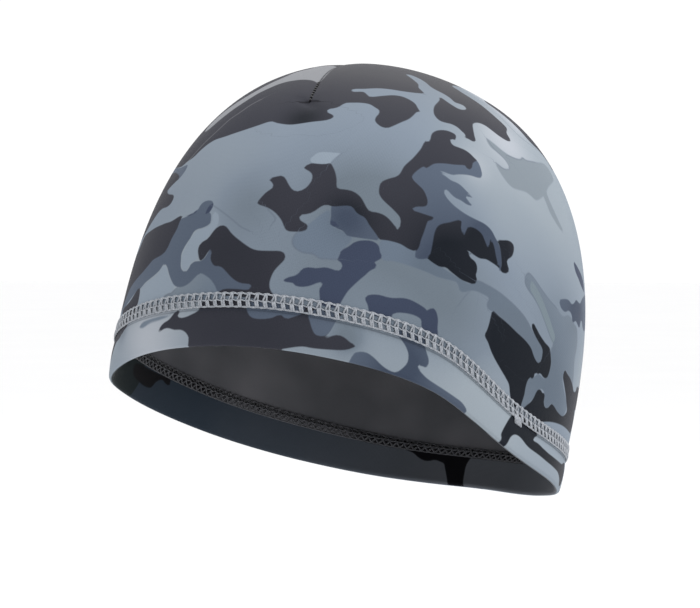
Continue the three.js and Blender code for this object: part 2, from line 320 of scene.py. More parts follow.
# %% The crown's print on the side that the picture shows: charcoal
CROWN_PRINT = [
    shape(
        "charcoal",
        [
            (181, 167), (187, 162), (194, 157), (200, 151), (207, 145), (215, 140), (224, 137), (234, 133.5),
            (246, 129.5), (258, 125.5), (271, 121.5), (277, 122.7), (288, 123.4), (300, 122.6), (314, 121.6),
            (325, 120.4), (331, 118.8), (334, 116.2), (331, 114), (328, 112.6), (327.2, 110.6), (329.5, 109),
            (336, 108), (341, 105.6), (345, 103.2), (353, 102.7), (363, 103), (370, 104.4), (375, 107.4),
            (379, 110.2), (379, 113.5), (376, 117), (375, 120.5), (378, 124.5), (383, 127.4), (388, 127.9),
            (394, 125.6), (402, 122), (409, 119), (414, 114.8), (417, 112), (420.3, 112.6), (417.8, 108),
            (415, 103.5), (409, 99.4), (401, 96.2), (393, 95.2), (383, 95.8), (370, 96.7), (367, 94.5),
            (363.5, 91.9), (353.5, 91.7), (351, 90.4), (353.5, 89.1), (364, 88.9), (378, 88.3), (390, 89.3),
            (402, 91.2), (414, 92.8), (423, 93.8), (426.5, 95.6), (422, 91), (418.6, 87.6), (418.4, 84.4),
            (414, 80.3), (409, 76.6), (406, 74.4), (410, 74.9), (418, 78), (425, 82), (431, 87), (437, 90.5),
            (443, 93.5), (450, 98), (455, 102.3), (460, 104), (464, 106), (466.3, 108.8), (463, 109.8),
            (458, 108.5), (452, 105), (446, 101), (442, 98.2), (439.2, 97.2), (439.6, 99.8), (437.5, 102.5),
            (434.5, 106), (433.5, 111), (435, 116), (440, 120.8), (446, 122.8), (451, 124), (457, 127),
            (462, 131.5), (465.5, 135), (464.5, 137.3), (468, 138.8), (473, 141.5), (475.6, 141.2),
            (474.5, 136), (473, 128), (472.8, 124.2), (475, 122.9), (479, 123), (485, 125.5), (491, 129.8),
            (497, 134.5), (503, 138.6), (508, 141.2), (510.6, 140.6), (508.5, 136.5), (506.6, 133),
            (506.8, 128.3), (503, 124), (497, 118.5), (489, 111.5), (481, 105), (473, 99.5), (465, 94.5),
            (458, 90), (452, 86),
        ],
        [
            (70, 33), (90, 26), (112, 22), (128, 27), (150, 20), (168, 12), (196, 16), (214, 27), (229, 24),
            (240, 24), (252, 17), (264, 25), (270, 38), (279, 41), (284, 52), (293, 57),
            (304, 70), (311, 84), (319, 92), (327, 101),
        ],
    ),
    shape(
        "charcoal",
        [
            (166.5, 190), (168.5, 194), (173.6, 195.4), (173.6, 198.3), (171, 203.5), (167.5, 206.7),
            (162, 209), (158.5, 212.5), (154, 219), (150, 225.5), (146, 232.5), (142.5, 239),
        ],
        [(326, 134), (318, 128), (316, 118), (323, 110)],
    ),
    shape(
        "charcoal",
        [(179.5, 178), (176, 181.6), (172, 185.5), (168.5, 189.5), (165.5, 193)],
        [(331, 113), (331, 108)],
    ),
    shape(
        "charcoal",
        [
            (182.5, 216.6), (180, 216), (176, 218.5), (171, 221.5), (164, 223.8), (158, 227.5), (152, 230.5),
            (148, 234.5), (144, 240), (141, 247), (139.5, 252),
        ],
        [(326, 140), (316, 146), (319, 156), (328, 162)],
    ),
    shape(
        "charcoal",
        [
            (139, 250), (144, 238), (152, 230), (170, 222), (182, 217), (180, 221), (177, 229), (172, 238),
            (168, 247), (165, 252), (160, 256), (153, 260), (148, 266), (143, 272), (138, 277.5), (133, 284),
            (129.5, 290), (127, 296), (124.5, 303), (122.5, 309),
        ],
        [(325, 162), (322, 150)],
    ),
    shape(
        "charcoal",
        [
            (140, 288.5), (139.5, 295), (138, 302), (136, 307.5), (137, 312), (130, 316), (122, 321),
            (122, 316), (123, 310.5), (127, 305), (131, 300), (135, 293.5), (138, 289),
        ],
    ),
    shape(
        "charcoal",
        [
            (198, 250), (199.5, 245), (203, 241.5), (208, 238.5), (211, 234.5), (214, 230.5), (217, 227.5),
            (221, 225.4), (225, 225.8), (228, 228.5), (231, 232.5), (235, 236.5), (240, 240.5), (246, 245),
            (252, 248.6), (258, 250.3), (270, 250.8), (280, 251), (283.5, 252.5), (285.3, 256),
            (284.3, 260), (281, 263.5), (277, 267.5), (273.5, 272), (271, 277.5), (269.5, 283), (269.8, 288),
            (271.5, 292), (275, 297), (270, 301), (250, 298), (232, 296), (221, 295), (219, 291.6),
            (222, 289.4), (236, 288.9), (249, 289.3), (251.5, 286.5), (249, 284), (243, 283.5),
            (237, 281.5), (231, 277), (226, 271.5), (222, 267.5), (218, 266), (214.5, 265.8), (211.5, 262),
            (210.5, 257), (211.8, 252), (211.2, 249.2), (209.5, 250), (206.5, 254.5), (203, 259.5),
            (200, 260.7), (198.5, 256),
        ],
    ),
    shape(
        "charcoal",
        [
            (269, 179.3), (273, 177.3), (278, 176.2), (282.5, 175.8), (285.5, 178.5), (288.5, 184),
            (292, 189), (296, 191.2), (300, 190.8), (305, 188.5), (309, 184.5), (311.8, 180), (312.2, 175),
            (310, 171.8), (306, 169.5), (304, 167.8), (307, 165), (311, 163.3), (318, 163.8), (325, 164.1),
            (330.6, 163.2), (332.8, 166.5), (335.2, 172), (336.6, 179), (336.8, 186.5), (338, 188.5),
            (344, 189.3), (351, 190.6), (356, 193), (361, 197.5), (364.5, 203.5), (367, 208), (370, 211.2),
            (376, 212.2), (383, 214.5), (388, 218), (393, 223.5), (396, 227.5), (398.2, 230.3),
            (399.8, 227), (400.7, 222), (405, 226), (412, 236), (415, 250), (408, 248.6), (402, 244.8),
            (395, 242.2), (386, 240.2), (379.5, 239.3), (377, 235.5), (373, 230), (369, 224.5),
            (366.5, 220), (364, 217), (360, 215), (356.5, 212.5), (354, 209), (351, 206.3), (345, 205.7),
            (338, 206.3), (332, 206.3), (327, 204.9), (323, 205.5), (319, 208), (314, 211.5), (308, 214),
            (302, 214.6), (299.8, 216), (300, 219.5), (303, 222), (306.5, 224), (307.7, 227.5),
            (305.5, 230.4), (300, 231.6), (292, 231.6), (287, 230.8), (284.5, 227.5), (281.5, 220.5),
            (277, 214.5), (272, 210.2), (266, 207), (260, 205), (257.3, 203.3), (258, 201.3), (262, 196.5),
            (267, 191.5), (272, 188.5), (273.2, 185.3), (271.5, 182),
        ],
    ),
    shape(
        "charcoal",
        [
            (379, 193), (379.3, 187), (381, 182.5), (385, 180), (391, 178), (397, 176.2), (400, 173.5),
            (402, 170), (404, 166.5), (408, 162.5), (412, 159), (417, 153.5), (421, 148.5), (424, 142.8),
            (426.8, 140.4), (429.6, 142), (430.5, 138), (432, 133.5), (436, 130.8), (441, 130), (447, 130.6),
            (452, 132.5), (455.7, 135), (455.4, 139.6), (453.3, 139.8), (450.6, 138.5), (450.4, 141.2),
            (453, 145), (459, 147.5), (465, 150), (470, 153.5), (474, 157.5), (477, 160.8), (474.5, 161.7),
            (472.6, 163.5), (472, 167.5), (469.5, 169.5), (467, 168.3), (465, 165.5), (460, 165),
            (453, 164.5), (447, 163.7), (440, 163.3), (434, 163.8), (430, 166), (426.5, 168.2),
            (423.5, 166.6), (420, 168.5), (415, 172.5), (412, 176.5), (413.5, 180), (418, 184.5),
            (423, 189.5), (426, 195), (427.6, 201), (427, 205.2), (424, 206.6), (418, 206.6), (412.5, 208.2),
            (414, 210.6), (418, 212), (424, 214), (430, 216), (433.6, 217.2), (432, 220), (428, 221),
            (426, 226), (424, 232), (421, 240), (419, 247), (416.5, 250.6), (411, 250), (405, 246.3),
            (398, 242), (396, 236), (402, 226), (400.6, 221), (399.8, 217.3), (396, 212.5), (391, 207.5),
            (385, 202), (381, 197.5),
        ],
    ),
    shape(
        "charcoal",
        [
            (427, 257.6), (430, 254.5), (431.5, 249), (433, 241), (434.5, 233), (437.5, 226.5),
            (442, 223.8), (449, 222.5), (455, 220.8), (460, 220.1), (461.6, 222), (461, 227), (462, 232),
            (463.6, 235.4), (466, 231), (468, 227.2), (473, 227.5), (479, 231), (482.5, 235), (485, 241),
            (488.2, 247.8), (489.5, 244), (490.2, 239.3), (492.5, 242), (494.5, 248), (496, 256),
            (498, 264), (500, 269), (496, 265.5), (490, 261.5), (486, 259.3), (480, 258.5), (474, 255),
            (469, 251), (466.3, 248.3), (468, 252), (470.5, 257.5), (475, 261.5), (477, 266), (477, 271),
            (475.8, 275.5), (477, 279), (476, 282.8), (473, 284), (468, 282.5), (461, 279.5), (455, 275),
            (450, 271), (446, 267.5), (440, 266.8), (434, 263.5), (429, 259.8),
        ],
    ),
    shape(
        "charcoal",
        [
            (497, 240.6), (503, 240.2), (508, 240.4), (511.5, 242.3), (513.8, 246), (513.6, 252),
            (511.5, 257), (508.5, 258.8), (507, 261.5), (508, 266), (509, 270.5), (507, 273.1),
            (503, 272.8), (500.5, 270.5), (501.5, 265), (501.3, 257), (500.2, 249), (498.5, 243.5),
        ],
    ),
    shape(
        "charcoal",
        [
            (492.3, 310.8), (495, 312.3), (499, 316), (505, 321), (511, 326.5), (517, 332.5), (523, 338),
            (528, 343.5), (531.5, 349), (533.5, 355), (536, 360.5), (538.5, 362.9), (541, 360.5),
            (542.3, 355), (542.5, 350), (541, 346), (538, 341), (534.5, 334.5), (532, 328), (531.6, 325),
            (533.6, 323.3), (536, 327.5), (540, 335), (545, 342.5), (550, 349), (550.8, 356), (551, 364),
            (549.5, 371.5), (547.5, 377), (545.5, 378.4), (543, 377), (540.2, 373.3), (538, 374.2),
            (535, 373), (533.2, 379.2), (530.5, 377.5), (527.5, 381), (525.5, 388), (524.5, 394),
            (522.5, 401), (520.5, 407), (514, 406), (511, 399), (510, 393), (509, 385), (506, 378.5),
            (501, 370), (495, 359.5), (491, 351), (488, 342.5), (484.7, 335), (487, 330), (489.5, 322),
            (491, 315),
        ],
    ),
    shape(
        "charcoal",
        [
            (577, 412), (574.5, 424), (572, 434), (569, 432), (566, 428.5), (561, 425), (555, 422.8),
            (547, 421.8), (541, 422), (536, 421), (530, 416), (523.5, 409), (527, 405), (531, 401.5),
            (534, 397), (536.3, 392), (538.7, 389.2), (541.2, 390.5), (542.5, 393), (544.7, 393.6),
            (544.6, 397), (543.9, 401), (544.2, 405), (545.8, 407.8), (548.3, 407.3), (551.3, 403.8),
            (553.7, 405.7), (556.7, 410.5), (560, 414.6), (562.5, 416.1), (565, 414.5), (566.9, 411),
            (566.5, 404), (565.5, 394), (564, 384), (563, 376), (564.6, 370.3), (567.5, 374),
            (570.5, 379), (572.5, 385), (574, 392),
        ],
        [(134, 147), (140, 142), (143, 150), (137, 156)],
    ),
    shape("charcoal", [(576.6, 387.5), (578, 392), (577.8, 399), (576.2, 397), (575.7, 392)]),
    shape(
        "charcoal",
        [
            (487, 103.3), (496, 109.8), (505, 116.8), (513, 123.8), (520, 130.8), (527, 138.6), (533, 145),
            (538, 149.8), (543, 155.6), (548, 162.5), (552, 169.5),
        ],
        [(122, 62), (124, 52), (112, 42), (92, 38), (80, 40)],
    ),
]
print("charcoal shapes:", len(CROWN_PRINT))

# %% The crown's print on the side that the picture shows: slate, navy and mist, with a painted reflection over the top
CROWN_PRINT += [
    shape(
        "slate",
        [
            (213.3, 203.5), (212.6, 201.5), (210, 200.4), (206.5, 200.7), (203, 202.5), (200.5, 205),
            (199, 208.5), (196, 211), (191, 214.5), (186, 216.8), (176, 222), (160, 242), (140, 258),
            (128, 285), (121, 312), (122.5, 315), (126, 306), (131, 298.5), (136, 292), (141, 288),
            (145, 283), (151, 278), (157, 273), (161, 268.5), (163, 264.8), (165.5, 264.5), (167.5, 268),
            (169, 274), (171, 279.5), (174, 285), (178, 287.1), (184, 286.3), (190, 282.5), (195, 277.5),
            (198, 274.5), (200.5, 273.3), (207, 276.5), (211.5, 280.5), (215, 286), (218, 292), (235, 294),
            (251, 294), (254, 286), (250, 276), (236, 266), (222, 256), (212, 246), (207, 254.5),
            (203, 259.8), (200, 261.2), (197, 261.2), (193, 262.2), (190, 265.5), (188, 270),
            (185, 271.6), (182, 270), (180.7, 266), (181, 260), (181.5, 254), (183.5, 249), (187, 243),
            (190.5, 238), (193, 233), (196, 229.8), (202, 228), (207, 225.8), (210.5, 223), (211, 219),
            (211, 214.2), (209.5, 212), (211, 209),
        ],
    ),
    shape(
        "slate",
        [(180, 168), (184, 166.3), (187.7, 165.2), (185.8, 170), (183, 174), (179.5, 178.6), (175, 181)],
        [(331, 110), (331, 105)],
    ),
    shape(
        "slate",
        [
            (331.8, 205), (338, 203), (350, 203), (360, 212), (370, 222), (379.8, 239.6), (370, 239.3),
            (360, 238), (352, 236.8), (347, 235.5), (343, 231), (339, 229), (335, 227), (331, 224.8),
            (330, 222.5), (331, 216), (331, 211),
        ],
    ),
    shape(
        "slate",
        [
            (477, 160.8), (479.5, 165), (481.5, 171), (482, 175), (480.6, 177.9), (477, 177.5), (471, 175.6),
            (464, 174.6), (457, 174.5), (453, 175), (448, 173.5), (443, 171.6), (440, 171.3), (441.5, 173.5),
            (446, 176.5), (451, 180.3), (457, 182.8), (461, 185.5), (465, 189.5), (469, 193.5),
            (472.8, 197.3), (470, 197.3), (467, 195.6), (466, 198), (469, 201.5), (471.8, 205.7),
            (467, 204.5), (461, 200.5), (455, 197.5), (451, 194), (447.5, 190.3), (445, 189.4), (444, 192),
            (446, 196.5), (449.5, 201), (454, 205.5), (459, 209.5), (464, 213), (470, 216.5), (477, 220),
            (484, 223.5), (489, 227.5), (492.5, 232), (495, 237), (498.2, 243), (500.7, 250), (501.8, 258),
            (501.5, 266), (500.4, 271.3), (497, 265), (488, 252), (476, 242), (462, 240), (448, 244),
            (438, 250), (431, 255), (427.8, 258.4), (424, 258.9), (419, 259), (415.3, 257.5),
            (415.3, 253.5), (416, 246), (412, 230), (408, 210), (408, 190), (408, 176), (420, 164),
            (440, 156), (460, 158), (470, 159),
        ],
    ),
    shape(
        "slate",
        [
            (583.5, 331), (582.3, 326), (581.8, 321.5), (580.3, 322), (580, 326), (578.8, 327.6),
            (577.5, 324.5), (575.5, 321), (573.5, 322.4), (572.3, 321), (572, 317), (571, 313.5),
            (568.5, 310.6), (565.5, 312), (563, 310.5), (560.5, 306.5), (559.4, 300.6), (562, 299.2),
            (567, 299.3), (569.5, 301), (571.5, 304), (574, 303.2), (576, 300), (578, 301.8),
            (580, 303.5), (582, 299), (584, 296),
        ],
        [(132, 112), (136, 117), (133, 124)],
    ),
    shape(
        "navy",
        [(573.6, 261.5), (576, 264.5), (579, 270), (581.6, 276), (583.4, 284), (584, 292), (581.5, 287),
         (578.5, 279), (575, 270)],
    ),
    shape(
        "navy",
        [
            (283.3, 280.3), (287, 277.8), (292, 276.2), (296, 275.3), (299, 272.8), (301.5, 269.5),
            (305, 267.7), (309, 267.3), (317, 268.2), (323, 267.3), (329, 268), (334, 269.8), (338, 270.8),
            (341, 269.2), (342.2, 265.5), (340.5, 262), (337.3, 259.8), (339.5, 255.5), (340.5, 251.5),
            (344, 248.8), (349, 246.2), (353, 243), (358, 241), (364, 240.3), (371, 240.8), (376, 243),
            (379, 246.5), (380, 252), (381.9, 256.5), (381, 258.6), (377.5, 260.5), (374.2, 262.8),
            (376, 264.5), (376.6, 267), (374, 268.8), (370, 270.8), (366, 274.5), (360, 279.5), (354, 285),
            (348.5, 290.5), (345, 295.5), (342, 300.5), (338, 307), (328, 307), (321, 304), (319.5, 295),
            (319.3, 290), (320.5, 287), (323, 284), (321.5, 282.3), (317, 283), (313, 284.7), (307, 286.5),
            (300, 286.8), (296, 286), (293, 283.2), (289.5, 282.3), (285.5, 282.2),
        ],
    ),
    shape(
        "navy",
        [
            (365.3, 297.5), (368, 295.2), (372, 294.5), (380, 295), (386, 296.8), (393, 298), (403, 298),
            (409, 299.3), (415, 302), (421, 305.5), (425.5, 308.6), (427.6, 310.9), (429.8, 308.9),
            (432, 307.9), (435, 309.6), (437, 314), (438, 320), (437.6, 328), (438, 335), (432, 336),
            (424, 330), (421.5, 326), (421.2, 320), (417, 316.5), (410, 314), (404, 313), (398, 312.7),
            (393, 314), (391, 318), (384, 318), (376, 316), (370, 313), (367.5, 304.5), (365.4, 300),
        ],
    ),
    shape("navy", [(184, 217), (188, 215.3), (193, 212.9), (197, 209.8), (196.2, 212.6), (192, 214.9),
                   (188, 216.7)]),
    shape("navy", [(213.3, 203.5), (212.8, 207), (210.5, 211), (207.7, 213.7), (205.4, 213.7), (206.8, 210),
                   (209, 206), (211.8, 203.3)]),
    shape("navy", [(330, 223.5), (331.5, 220.3), (334.5, 220.8), (337, 224), (340, 227.3), (342.5, 230.3),
                   (338, 228.6), (334, 226.8)]),
    shape(
        "mist",
        [
            (300, 231), (312, 222), (322, 214), (330, 210), (330, 224), (343, 232), (352, 238),
            (345, 247.5), (340, 252), (337.5, 259.3), (327, 259), (319.5, 258.3), (314.5, 254.6),
            (304, 252.8), (298.5, 250.3), (294, 246.5), (292.3, 241.8), (294, 236.5),
        ],
    ),
    shape(
        "mist",
        [
            (162, 298.6), (166, 294.6), (172, 292.5), (175.5, 288.5), (182, 286.5), (192, 280), (199.5, 273),
            (207, 276), (216, 286), (219, 296), (205, 301), (185, 304), (170, 306),
        ],
    ),
    shape(
        "mist",
        [
            (379, 246), (384, 238), (400, 240), (418, 246), (430, 256), (440, 266), (452, 274),
            (462, 280), (470, 284),
            (477, 280.6), (487, 285), (498, 291.5), (508, 299.5), (517, 308), (525, 317.5), (530, 326),
            (534, 334), (540, 343), (542.7, 350), (542.5, 357), (538.5, 363), (530, 350), (517, 333),
            (505, 321), (496, 313), (491.5, 311), (487.8, 308), (487.3, 303.5), (489.3, 299),
            (483, 294), (476, 291), (470, 290.4), (464, 292), (460, 290.5), (457.3, 283), (448, 279.5),
            (438, 277), (428, 272.5), (418, 268.6), (409, 265.4), (400, 262.6), (391, 260.6),
            (383, 259.8),
        ],
    ),
    shape(
        "mist",
        [
            (486.3, 138.5), (493, 143), (502, 150.5), (511, 156.5), (520, 159.6), (522.6, 157.6),
            (526, 160.3), (536, 162.5), (547, 167), (553, 178), (548, 187), (545, 193), (541, 197.5),
            (536, 199.7), (531, 195.6), (526, 191.8), (519, 189.6), (513, 187.5), (508, 183), (503.5, 177),
            (499, 170), (495.6, 162.8), (500, 166), (505, 169.4), (509.7, 169.2), (508.5, 164.5),
            (504, 158.3), (497, 152), (490, 146),
        ],
    ),
    shape(
        "mist",
        [
            (545, 190), (549, 200), (553.5, 210), (558.5, 221), (563.2, 232), (560.5, 229.5), (555, 221),
            (550, 212), (546, 202), (543.5, 195),
        ],
    ),
    shape(
        "mist",
        [
            (526, 275.2), (528.6, 273), (531.7, 275.5), (536, 281), (541, 288.5), (546, 295.5), (551, 302),
            (556, 307.3), (559, 312), (563, 316.7), (568, 315.5), (571, 318), (574, 324), (577, 330),
            (577, 345), (574.5, 360), (573.5, 376), (572.5, 386), (568.5, 375), (564.6, 370), (562.5, 378),
            (564.3, 392), (566.5, 408), (562.5, 416.5), (556, 409.5), (551.3, 403.5), (547, 408),
            (544, 403), (544.7, 394), (539, 389), (535, 396), (528, 404), (523.5, 410), (519.5, 408),
            (523, 398), (526, 384), (530.5, 377.3), (534, 377), (538, 374), (545.5, 378.5), (551, 366),
            (551, 350), (553.6, 345), (550, 336), (545, 322), (540, 309), (533.5, 297), (527.5, 288.5),
            (525, 282),
        ],
    ),
    shape(
        "pale",
        [
            (531, 281), (536, 287), (540, 294), (544, 303), (548, 314), (552, 326), (555, 338),
            (552.5, 343.5), (549.5, 334), (544, 320), (539.5, 308), (534.5, 297.5), (530.5, 289),
        ],
    ),
    shape(
        # A painted reflection: a pale patch of light across the top of the crown
        "painted_reflection",
        [
            (340, 62.5), (333, 67), (327.5, 72), (322, 77.6), (317.5, 80.6), (311, 79.6),
            (303, 79.6), (295, 80.4), (286, 82), (277, 84.8),
            (269, 88.3), (260, 92.5), (251, 97.8), (243, 103), (234, 109),
            (226, 115), (218, 121.5), (210, 128.5), (205, 132), (209, 126), (217, 118), (226, 110.5),
            (235, 104), (245, 97.6), (255, 91.8), (265, 86.2), (275, 81.3), (285, 77), (297, 72),
            (309, 67), (316, 65),
        ],
    ),
    shape(
        "glint",
        [
            (310, 159.5), (313.5, 156), (318, 152.6), (326, 152.1), (336, 152.9), (341.3, 153.4),
            (337, 157), (333.3, 160.8), (330.6, 163.3), (320, 163.8), (313, 163),
        ],
    ),
    shape(
        "glint",
        [
            (141, 290), (146, 284), (152, 279), (158, 274), (163, 266), (166.5, 268), (168.5, 275),
            (171, 281), (174.5, 287), (171, 292), (165.5, 294), (161, 299), (156, 304), (141, 308),
            (137.5, 306), (140, 297),
        ],
    ),
    shape(
        "glint",
        [
            (197, 231), (207, 227.5), (212, 222), (213, 212), (218, 214), (218, 224), (211, 233),
            (205, 240), (199, 244.5), (198, 258), (191, 262.5), (186, 271), (182, 268), (182, 256),
            (188, 243),
        ],
    ),
]
print("shapes that the picture shows on the crown:", len(CROWN_PRINT))

# %% Thin darker lines in the crown's print, a painted shadow in the fold at the dart's tip and a painted highlight along a crease at the left
CROWN_LINES = [
    shape("line", [(214, 206), (224, 213), (234, 221), (242, 227.5), (249, 230.6)]),
    shape("line", [(268, 209.6), (273, 215), (275.6, 219), (272, 224)]),
    shape("line", [(331, 162.6), (335, 158.6), (340.5, 154.4)]),
    shape("line", [(297, 232.4), (293.4, 237), (292.3, 242), (294.4, 247), (299, 250.5), (304, 252.8),
                   (311, 253), (315, 255), (319.4, 258.2), (327, 258.9), (337, 259.2)]),
    shape("line", [(470.5, 290.5), (466, 295.2), (462, 300.2), (458.3, 305.5)]),
    shape("line", [(477, 280.6), (487, 285), (498, 291.5), (508, 299.5), (517, 308),
                   (525, 317.5), (530, 326)]),
    shape("line", [(487, 303.5), (487.6, 308), (489.3, 299.2)]),
    shape("line", [(487, 139), (493, 147.5), (500, 154.5), (506, 161), (509.6, 168.5), (504, 169),
                   (499.5, 165.8), (495.8, 162.8)]),
    shape("line", [(508, 155.5), (515, 158.4), (520.6, 159.6), (522.6, 157.8), (526, 160.3), (535, 162.5)]),
    shape("line", [(525, 277), (525.2, 283), (528.5, 290), (533.5, 297), (540, 309), (545, 322), (550, 336),
                   (553.5, 344), (551.5, 348)]),
    shape("line", [(526, 275), (528.6, 273.1), (531.7, 275.5), (536, 281), (541, 288.5), (546, 295.5),
                   (551, 302), (556, 307.3)]),
    shape("line", [(501, 117.5), (507, 124), (514, 131), (521, 137.6), (529, 143.8), (536.5, 149.6)]),
    shape("line", [(162, 298.6), (166, 294.6), (172, 292.6), (175.5, 288.6)]),
]
PAINTED_FOLD_SHADOW_AND_HIGHLIGHT = [
    # The pucker line is a painted shadow in the fold at the dart's tip; the crease line is a painted
    # highlight along a crease
    shape("pucker", [(299.5, 100), (304, 99.4), (309, 98.6), (313, 99), (318, 99.8)]),
    shape("painted_crease_highlight", [(262, 99), (250, 105.5), (240, 112.5), (230, 119.3), (222, 126.5), (214, 134),
                     (206, 141.5), (198, 150), (191, 158), (184.5, 165)]),
]
print("lines:", len(CROWN_LINES), "folds and creases:", len(PAINTED_FOLD_SHADOW_AND_HIGHLIGHT))

# %% The crown's print beyond the picture: the cloth's repeat comes round again at the back
REPEAT_TURN_DEG = 178
REPEAT_SLIDE = np.array([4, 20])
REPEAT_FROM_DEG, REPEAT_TO_DEG = 129, 304
REPEATED_TONES = ("mist", "slate", "navy", "charcoal", "line")


def repeated(printed):
    """The same shape turned and slid, where the print's repeat brings it to the back of the cap."""
    turn = math.radians(REPEAT_TURN_DEG)
    spin = np.array([[math.cos(turn), -math.sin(turn)], [math.sin(turn), math.cos(turn)]])
    across, along = (land(printed.seen) @ spin.T + REPEAT_SLIDE).T
    azimuths = np.degrees(np.arctan2(across, -along)) % 360
    return shape(printed.tone, [], list(zip(azimuths, np.hypot(across, along))))


def is_behind(printed):
    """Whether a repeated shape lies wholly on the side that isn't seen."""
    return all(REPEAT_FROM_DEG < azimuth_deg < REPEAT_TO_DEG for azimuth_deg, _ in printed.beyond)


whole = [printed for printed in CROWN_PRINT + CROWN_LINES if printed.seen and not printed.beyond]
again = [repeated(printed) for printed in whole if printed.tone in REPEATED_TONES]
again = [printed for printed in again if is_behind(printed)]
CROWN_LINES += [printed for printed in again if printed.tone == "line"]
CROWN_PRINT += [printed for printed in again if printed.tone != "line"]
print("turned by", REPEAT_TURN_DEG, "degrees, shapes repeated:", len(again))

# Shapes charted on the back itself, round the repeated ones
CROWN_PRINT += [
    shape("slate", [], [(284, 122), (291, 116), (299, 119), (303, 128), (310, 133), (309, 143), (301, 146),
                        (297, 154), (290, 158), (286, 150), (288, 140), (282, 132)]),
    shape("charcoal", [], [(286, 98), (292, 91), (300, 94), (306, 103), (312, 106), (314, 114), (307, 116),
                           (301, 111), (297, 116), (290, 113), (291, 106)]),
    shape("charcoal", [], [(296, 150), (299, 140), (304, 136), (307, 141), (313, 143), (312, 152), (306, 155),
                           (303, 163), (297, 166), (294, 158)]),
    shape("charcoal", [], [(132, 96), (136, 87), (141, 79), (148, 74), (156, 70), (161, 75), (155, 81),
                           (157, 88), (150, 92), (145, 89), (143, 96), (138, 101), (134, 104)]),
    shape("mist", [], [(176, 62), (183, 56), (191, 55), (199, 60), (205, 69), (201, 77), (205, 84), (210, 92),
                       (205, 102), (197, 101), (193, 94), (187, 90), (181, 95), (174, 91), (172, 82),
                       (167, 76), (170, 68)]),
    shape("charcoal", [], [(180, 68), (186, 62), (192, 61), (197, 66), (193, 72), (196, 77), (201, 82),
                           (197, 90), (190, 87), (186, 81), (182, 84), (177, 79), (181, 74)]),
    shape("slate", [], [(134, 112), (137, 105), (143, 104), (147, 111), (152, 116), (158, 121), (164, 117),
                        (170, 117), (177, 122), (173, 131), (165, 133), (160, 138), (153, 132), (147, 138),
                        (140, 134), (136, 127), (131, 122)]),
    shape("charcoal", [], [(140, 94), (145, 87), (151, 83), (158, 85), (160, 92), (157, 98), (162, 103),
                           (168, 99), (173, 102), (173, 110), (166, 112), (161, 111), (158, 117), (151, 125),
                           (146, 122), (149, 114), (146, 107), (141, 104), (137, 99)]),
    shape("navy", [], [(188, 106), (193, 100), (200, 99), (206, 105), (205, 111), (211, 115), (208, 122),
                       (200, 122), (196, 117), (192, 125), (186, 122), (183, 113)]),
    shape("charcoal", [], [(178, 128), (182, 120), (188, 116), (193, 120), (191, 127), (196, 132), (191, 139),
                           (185, 136), (181, 142), (175, 137)]),
    shape("charcoal", [], [(133, 146), (137, 139), (143, 136), (149, 140), (148, 146), (153, 150), (148, 155),
                           (142, 151), (138, 156), (133, 152)]),
    shape("mist", [], [(148, 64), (154, 56), (161, 52), (168, 54), (172, 60), (168, 67), (163, 70), (160, 77),
                       (153, 74), (150, 70)]),
    shape("slate", [], [(148, 158), (153, 150), (159, 147), (164, 151), (170, 146), (177, 149), (180, 156),
                        (174, 161), (167, 165), (159, 163), (153, 166)]),
    shape("charcoal", [], [(155, 158), (161, 153), (166, 157), (171, 155), (174, 160), (168, 166),
                           (160, 167)]),
    shape("mist", [], [(268, 60), (276, 52), (288, 54), (296, 64), (304, 76), (298, 84), (288, 78), (280, 82),
                       (272, 74)]),
]

